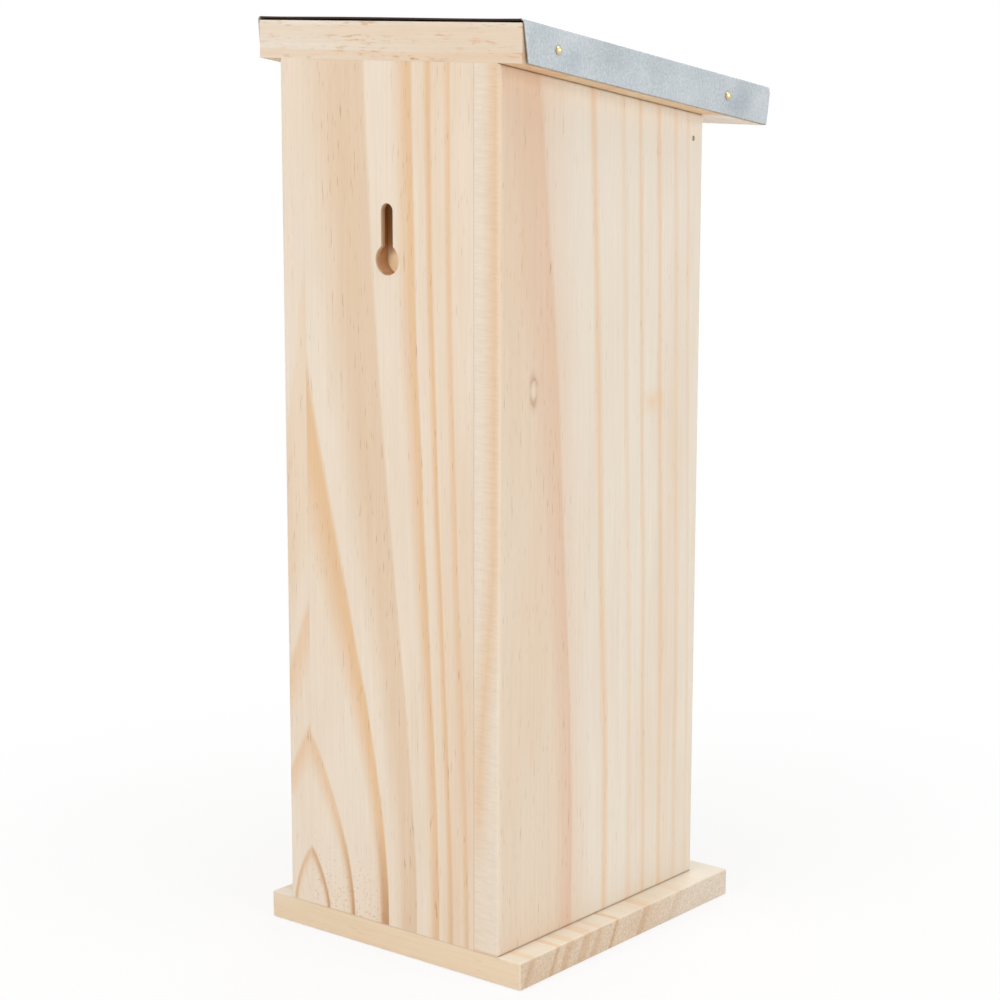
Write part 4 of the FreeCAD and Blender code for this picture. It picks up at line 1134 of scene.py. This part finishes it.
BASE_LINES += line_stops((
    (49.5, 52.5, 54.5, 0.42), (68.6, 70.1, 70.7, 0.68), (77.6, 79.6, 81.6, 0.3), (83.5, 86.5, 89.2, 0.34),
    (94.0, 96.6, 98.9, 0.36), (102.6, 104.3, 105.0, 0.58)))
BASE_LINES += peak_stops(((116.4, 119.4, 121.2, 0.42),))
BACK_GROWTH = {"climb": 46.2, "reach": 103.0}
SIDE_GROWTH = {"climb": 66.0, "reach": 215.6}
# The left side's pith, inwards and back of its lower back corner, and the knot and the smudge on its face:
# place along and up, and size along x, y and z.
SIDE_PITH = mm(20, 18.3)
KNOT, KNOT_SIZE = mm(60, 226), mm(9, 5, 13)
SMUDGE, SMUDGE_SIZE = mm(-16, 213), mm(20, 11, 7)


class BEEHOTEL_OT_boards(bpy.types.Operator):
    """Gives every pine board its own cut of wood"""
    bl_idname = "beehotel.boards"
    bl_label = "Pine boards"

    def execute(self, context):
        colours = context.scene.bee_hotel_colours
        low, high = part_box("back_panel")
        floor = low.z
        side_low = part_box("side_panel_left")[0]
        base_low, base_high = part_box("base_board")
        keyhole = next(mount for mount in frame["record"]["mounts"] if mount["name"] == "keyhole")
        joint = Vector((high.x, high.y, floor))
        corner = Vector((side_low.x + SIDE_PITH[0], high.y + SIDE_PITH[1], floor))
        side_marks = planed_side(
            colours, (side_low.x, *KNOT), KNOT_SIZE, (side_low.x, *SMUDGE), SMUDGE_SIZE, floor)
        back = pine(
            "pine, arched back", colours, "Z", joint, BACK_ARCHES, **BACK_GROWTH, flecks=0.5, foot_stain=0.66,
            detail=routed_back(colours, high.y, high.x, keyhole["pos_m"][2], floor))
        right = pine(
            "pine, right side", colours, "Z", joint, RIGHT_ARCHES, **BACK_GROWTH, foot_stain=0.4,
            upright=True)
        left = pine(
            "pine, striped side", colours, "Z", corner, LEFT_STRIPES, **SIDE_GROWTH, flecks=0.45,
            early=colours.side_wood, detail=side_marks, upright=True)
        base = pine(
            "pine, base", colours, "X", (0, base_low.y - 100 * MM, -90 * MM), BASE_LINES,
            detail=base_tones_and_light(base_high.y))
        roof = pine(
            "pine, roof", colours, "X", mm(0, 30, 200), year_lines(13, seed=5, depth=0.4), flecks=0.2,
            early=colours.side_wood, detail=roof_marks(colours, side_low.y))
        shelf = pine("pine, shelves", colours, "X", mm(0, -60, -100), year_lines(10, seed=8, depth=0.6))
        rail = pine("pine, guard rails", colours, "X", mm(0, -90, 90), year_lines(9, seed=11, depth=0.6))
        stile = pine("pine, guard stiles", colours, "Z", mm(15, -120, 0), year_lines(7, seed=13, depth=0.6))
        cuts = {
            "back_panel": back, "side_panel_right": right, "side_panel_left": left, "base_board": base,
            "roof_board": roof, "shelf_lower": shelf, "shelf_upper": shelf, "guard_rail_top": rail,
            "guard_rail_bottom": rail, "guard_rail_lower_cross": rail, "guard_rail_upper_cross": rail,
            "guard_stile_left": stile, "guard_stile_right": stile}
        for node, material in cuts.items():
            frame["nodes"][node].material_slots[0].material = material
        return {"FINISHED"}


class BEEHOTEL_OT_fittings(bpy.types.Operator):
    """Gives nails, pins, screws, staples and the turn button their metals"""
    bl_idname = "beehotel.fittings"
    bl_label = "Fittings"

    def execute(self, context):
        colours = context.scene.bee_hotel_colours
        brass = polished_brass(colours)
        steel = plated_steel("zinc-plated steel", colours.steel, 1.5, 0.3)
        for node, thing in frame["nodes"].items():
            if node.startswith(("roof_nails", "turn_button", "pivot_pin")):
                thing.material_slots[0].material = brass
            elif node in ("roof_screws", "base_screws", "guard_staples"):
                thing.material_slots[0].material = steel
        return {"FINISHED"}


# Stage, in metres and degrees. A lamp is its name, place and width.
LAMPS = {
    "key": ("key lamp", (0.1, 1.35, 0.75), 0.5), "fill": ("fill lamp", (-1.35, 0.0, 0.55), 1.0),
    "front": ("front lamp", (0.55, -1.3, 0.6), 0.9), "top": ("top lamp", (-0.2, 0.1, 1.6), 1.2)}
FLOOR_HALF = 3.0
FLOOR_LEVEL = -0.0002
# The floor's share of plain white, near and far: distance from the middle, share.
FLOOR_WHITE = ((0.1, 0.8), (0.35, 1.0))
CAMERA_PLACE = (-0.6337, 0.7991, 0.3704)
CAMERA_AZIMUTH = 38.86
CAMERA_ELEVATION = 11.16
CAMERA_ROLL = 0.10
LOOK_AT = (0.0, 0.0, 0.18)
WHITE = linear("#FFFFFF")


class BEEHOTEL_OT_stage(bpy.types.Operator):
    """Sets up floor, soft studio light, white surroundings and the camera"""
    bl_idname = "beehotel.stage"
    bl_label = "Studio"

    def execute(self, context):
        stage = context.scene.bee_hotel_stage
        scene = context.scene
        scene.view_settings.view_transform = "Standard"
        make_floor()
        make_world(scene, stage.world)
        for power, (name, place, size) in LAMPS.items():
            soft_lamp(name, place, size, getattr(stage, power))
        make_camera(scene, stage.lens)
        return {"FINISHED"}


def seen_white(tree):
    """One for rays that the camera, a reflection or glass sends out, and nothing for the rest."""
    path = add(tree, "LightPath").outputs
    direct = add(tree, "Math", [path["Is Camera Ray"], path["Is Glossy Ray"]], operation="MAXIMUM")
    return add(tree, "Math", [direct, path["Is Transmission Ray"]], operation="MAXIMUM")


def make_floor():
    """A pale floor. What the camera sees of it is mostly plain white, so the shadow stays faint."""
    corners = [(x * FLOOR_HALF, y * FLOOR_HALF, FLOOR_LEVEL) for x, y in ((-1, -1), (1, -1), (1, 1), (-1, 1))]
    mesh = bpy.data.meshes.new("floor")
    mesh.from_pydata(corners, [], [(0, 1, 2, 3)])
    floor = bpy.data.objects.new("floor", mesh)
    bpy.context.scene.collection.objects.link(floor)
    material, tree, place = new_material("pale studio floor")
    paint = add(tree, "BsdfDiffuse", {"Color": linear("#F8F7F6")})
    white = add(tree, "Emission", {"Color": WHITE, "Strength": 1.0})
    away = add(tree, "VectorMath", [place.outputs["Object"]], operation="LENGTH")
    (near, near_share), (far, far_share) = FLOOR_WHITE
    plain = add(tree, "MapRange", [away, near, far, near_share, far_share])
    share = add(tree, "Math", [seen_white(tree), plain], operation="MULTIPLY")
    add(tree, "OutputMaterial", {"Surface": add(tree, "MixShader", [share, paint, white])})
    mesh.materials.append(material)


def make_world(scene, strength):
    """Even light all round, seen as white."""
    world = bpy.data.worlds.new("white studio")
    scene.world = world
    world.use_nodes = True
    tree = world.node_tree
    tree.nodes.clear()
    light = add(tree, "Background", {"Color": WHITE, "Strength": strength})
    white = add(tree, "Background", {"Color": WHITE, "Strength": 1.0})
    add(tree, "OutputWorld", {"Surface": add(tree, "MixShader", [seen_white(tree), light, white])})


def soft_lamp(name, place, size, power):
    """A large square lamp that faces the object."""
    lamp = bpy.data.lights.new(name, "AREA")
    lamp.size = size
    lamp.energy = power
    thing = bpy.data.objects.new(name, lamp)
    towards = Vector(LOOK_AT) - Vector(place)
    thing.matrix_world = Matrix.Translation(place) @ towards.to_track_quat("-Z", "Y").to_matrix().to_4x4()
    bpy.context.scene.collection.objects.link(thing)


def make_camera(scene, lens):
    """The camera, behind the house and to its left as seen from the front, about level with its top."""
    azimuth, elevation, roll = (math.radians(a) for a in (CAMERA_AZIMUTH, CAMERA_ELEVATION, CAMERA_ROLL))
    away = Vector((-math.sin(azimuth) * math.cos(elevation), math.cos(azimuth) * math.cos(elevation),
                   math.sin(elevation)))
    right = Vector((-math.cos(azimuth), -math.sin(azimuth), 0))
    up = away.cross(right)
    turned_right = right * math.cos(roll) + up * math.sin(roll)
    turned_up = up * math.cos(roll) - right * math.sin(roll)
    data = bpy.data.cameras.new("camera")
    data.lens = lens
    data.sensor_width = 36.0
    data.clip_start = 0.01
    camera = bpy.data.objects.new("camera", data)
    turn = Matrix((turned_right, turned_up, away)).transposed().to_4x4()
    camera.matrix_world = Matrix.Translation(CAMERA_PLACE) @ turn
    scene.collection.objects.link(camera)
    scene.camera = camera


class BEEHOTEL_PT_panel(bpy.types.Panel):
    """Lists the steps that dress the bee hotel"""
    bl_idname = "BEEHOTEL_PT_panel"
    bl_label = "Bee hotel"
    bl_space_type = "VIEW_3D"
    bl_region_type = "UI"
    bl_category = "Bee hotel"

    def draw(self, context):
        for step in STEPS:
            self.layout.operator(step.bl_idname)


STEPS = (
    BEEHOTEL_OT_boards, BEEHOTEL_OT_fittings, BEEHOTEL_OT_roof_sheet, BEEHOTEL_OT_canes, BEEHOTEL_OT_branches,
    BEEHOTEL_OT_logs, BEEHOTEL_OT_guard_mesh, BEEHOTEL_OT_stage)
GROUPS = {
    "bee_hotel_sizes": BeeHotelSizes, "bee_hotel_colours": BeeHotelColours, "bee_hotel_stage": BeeHotelStage}


def register():
    for group in GROUPS.values():
        bpy.utils.register_class(group)
    for name, group in GROUPS.items():
        setattr(bpy.types.Scene, name, PointerProperty(type=group))
    for step in STEPS:
        bpy.utils.register_class(step)
    bpy.utils.register_class(BEEHOTEL_PT_panel)


def unregister():
    bpy.utils.unregister_class(BEEHOTEL_PT_panel)
    for step in reversed(STEPS):
        bpy.utils.unregister_class(step)
    for name in GROUPS:
        delattr(bpy.types.Scene, name)
    for group in reversed(list(GROUPS.values())):
        bpy.utils.unregister_class(group)


def main():
    register()
    for step in STEPS:
        group, action = step.bl_idname.split(".")
        getattr(getattr(bpy.ops, group), action)()


if __name__ == "__main__":
    main()
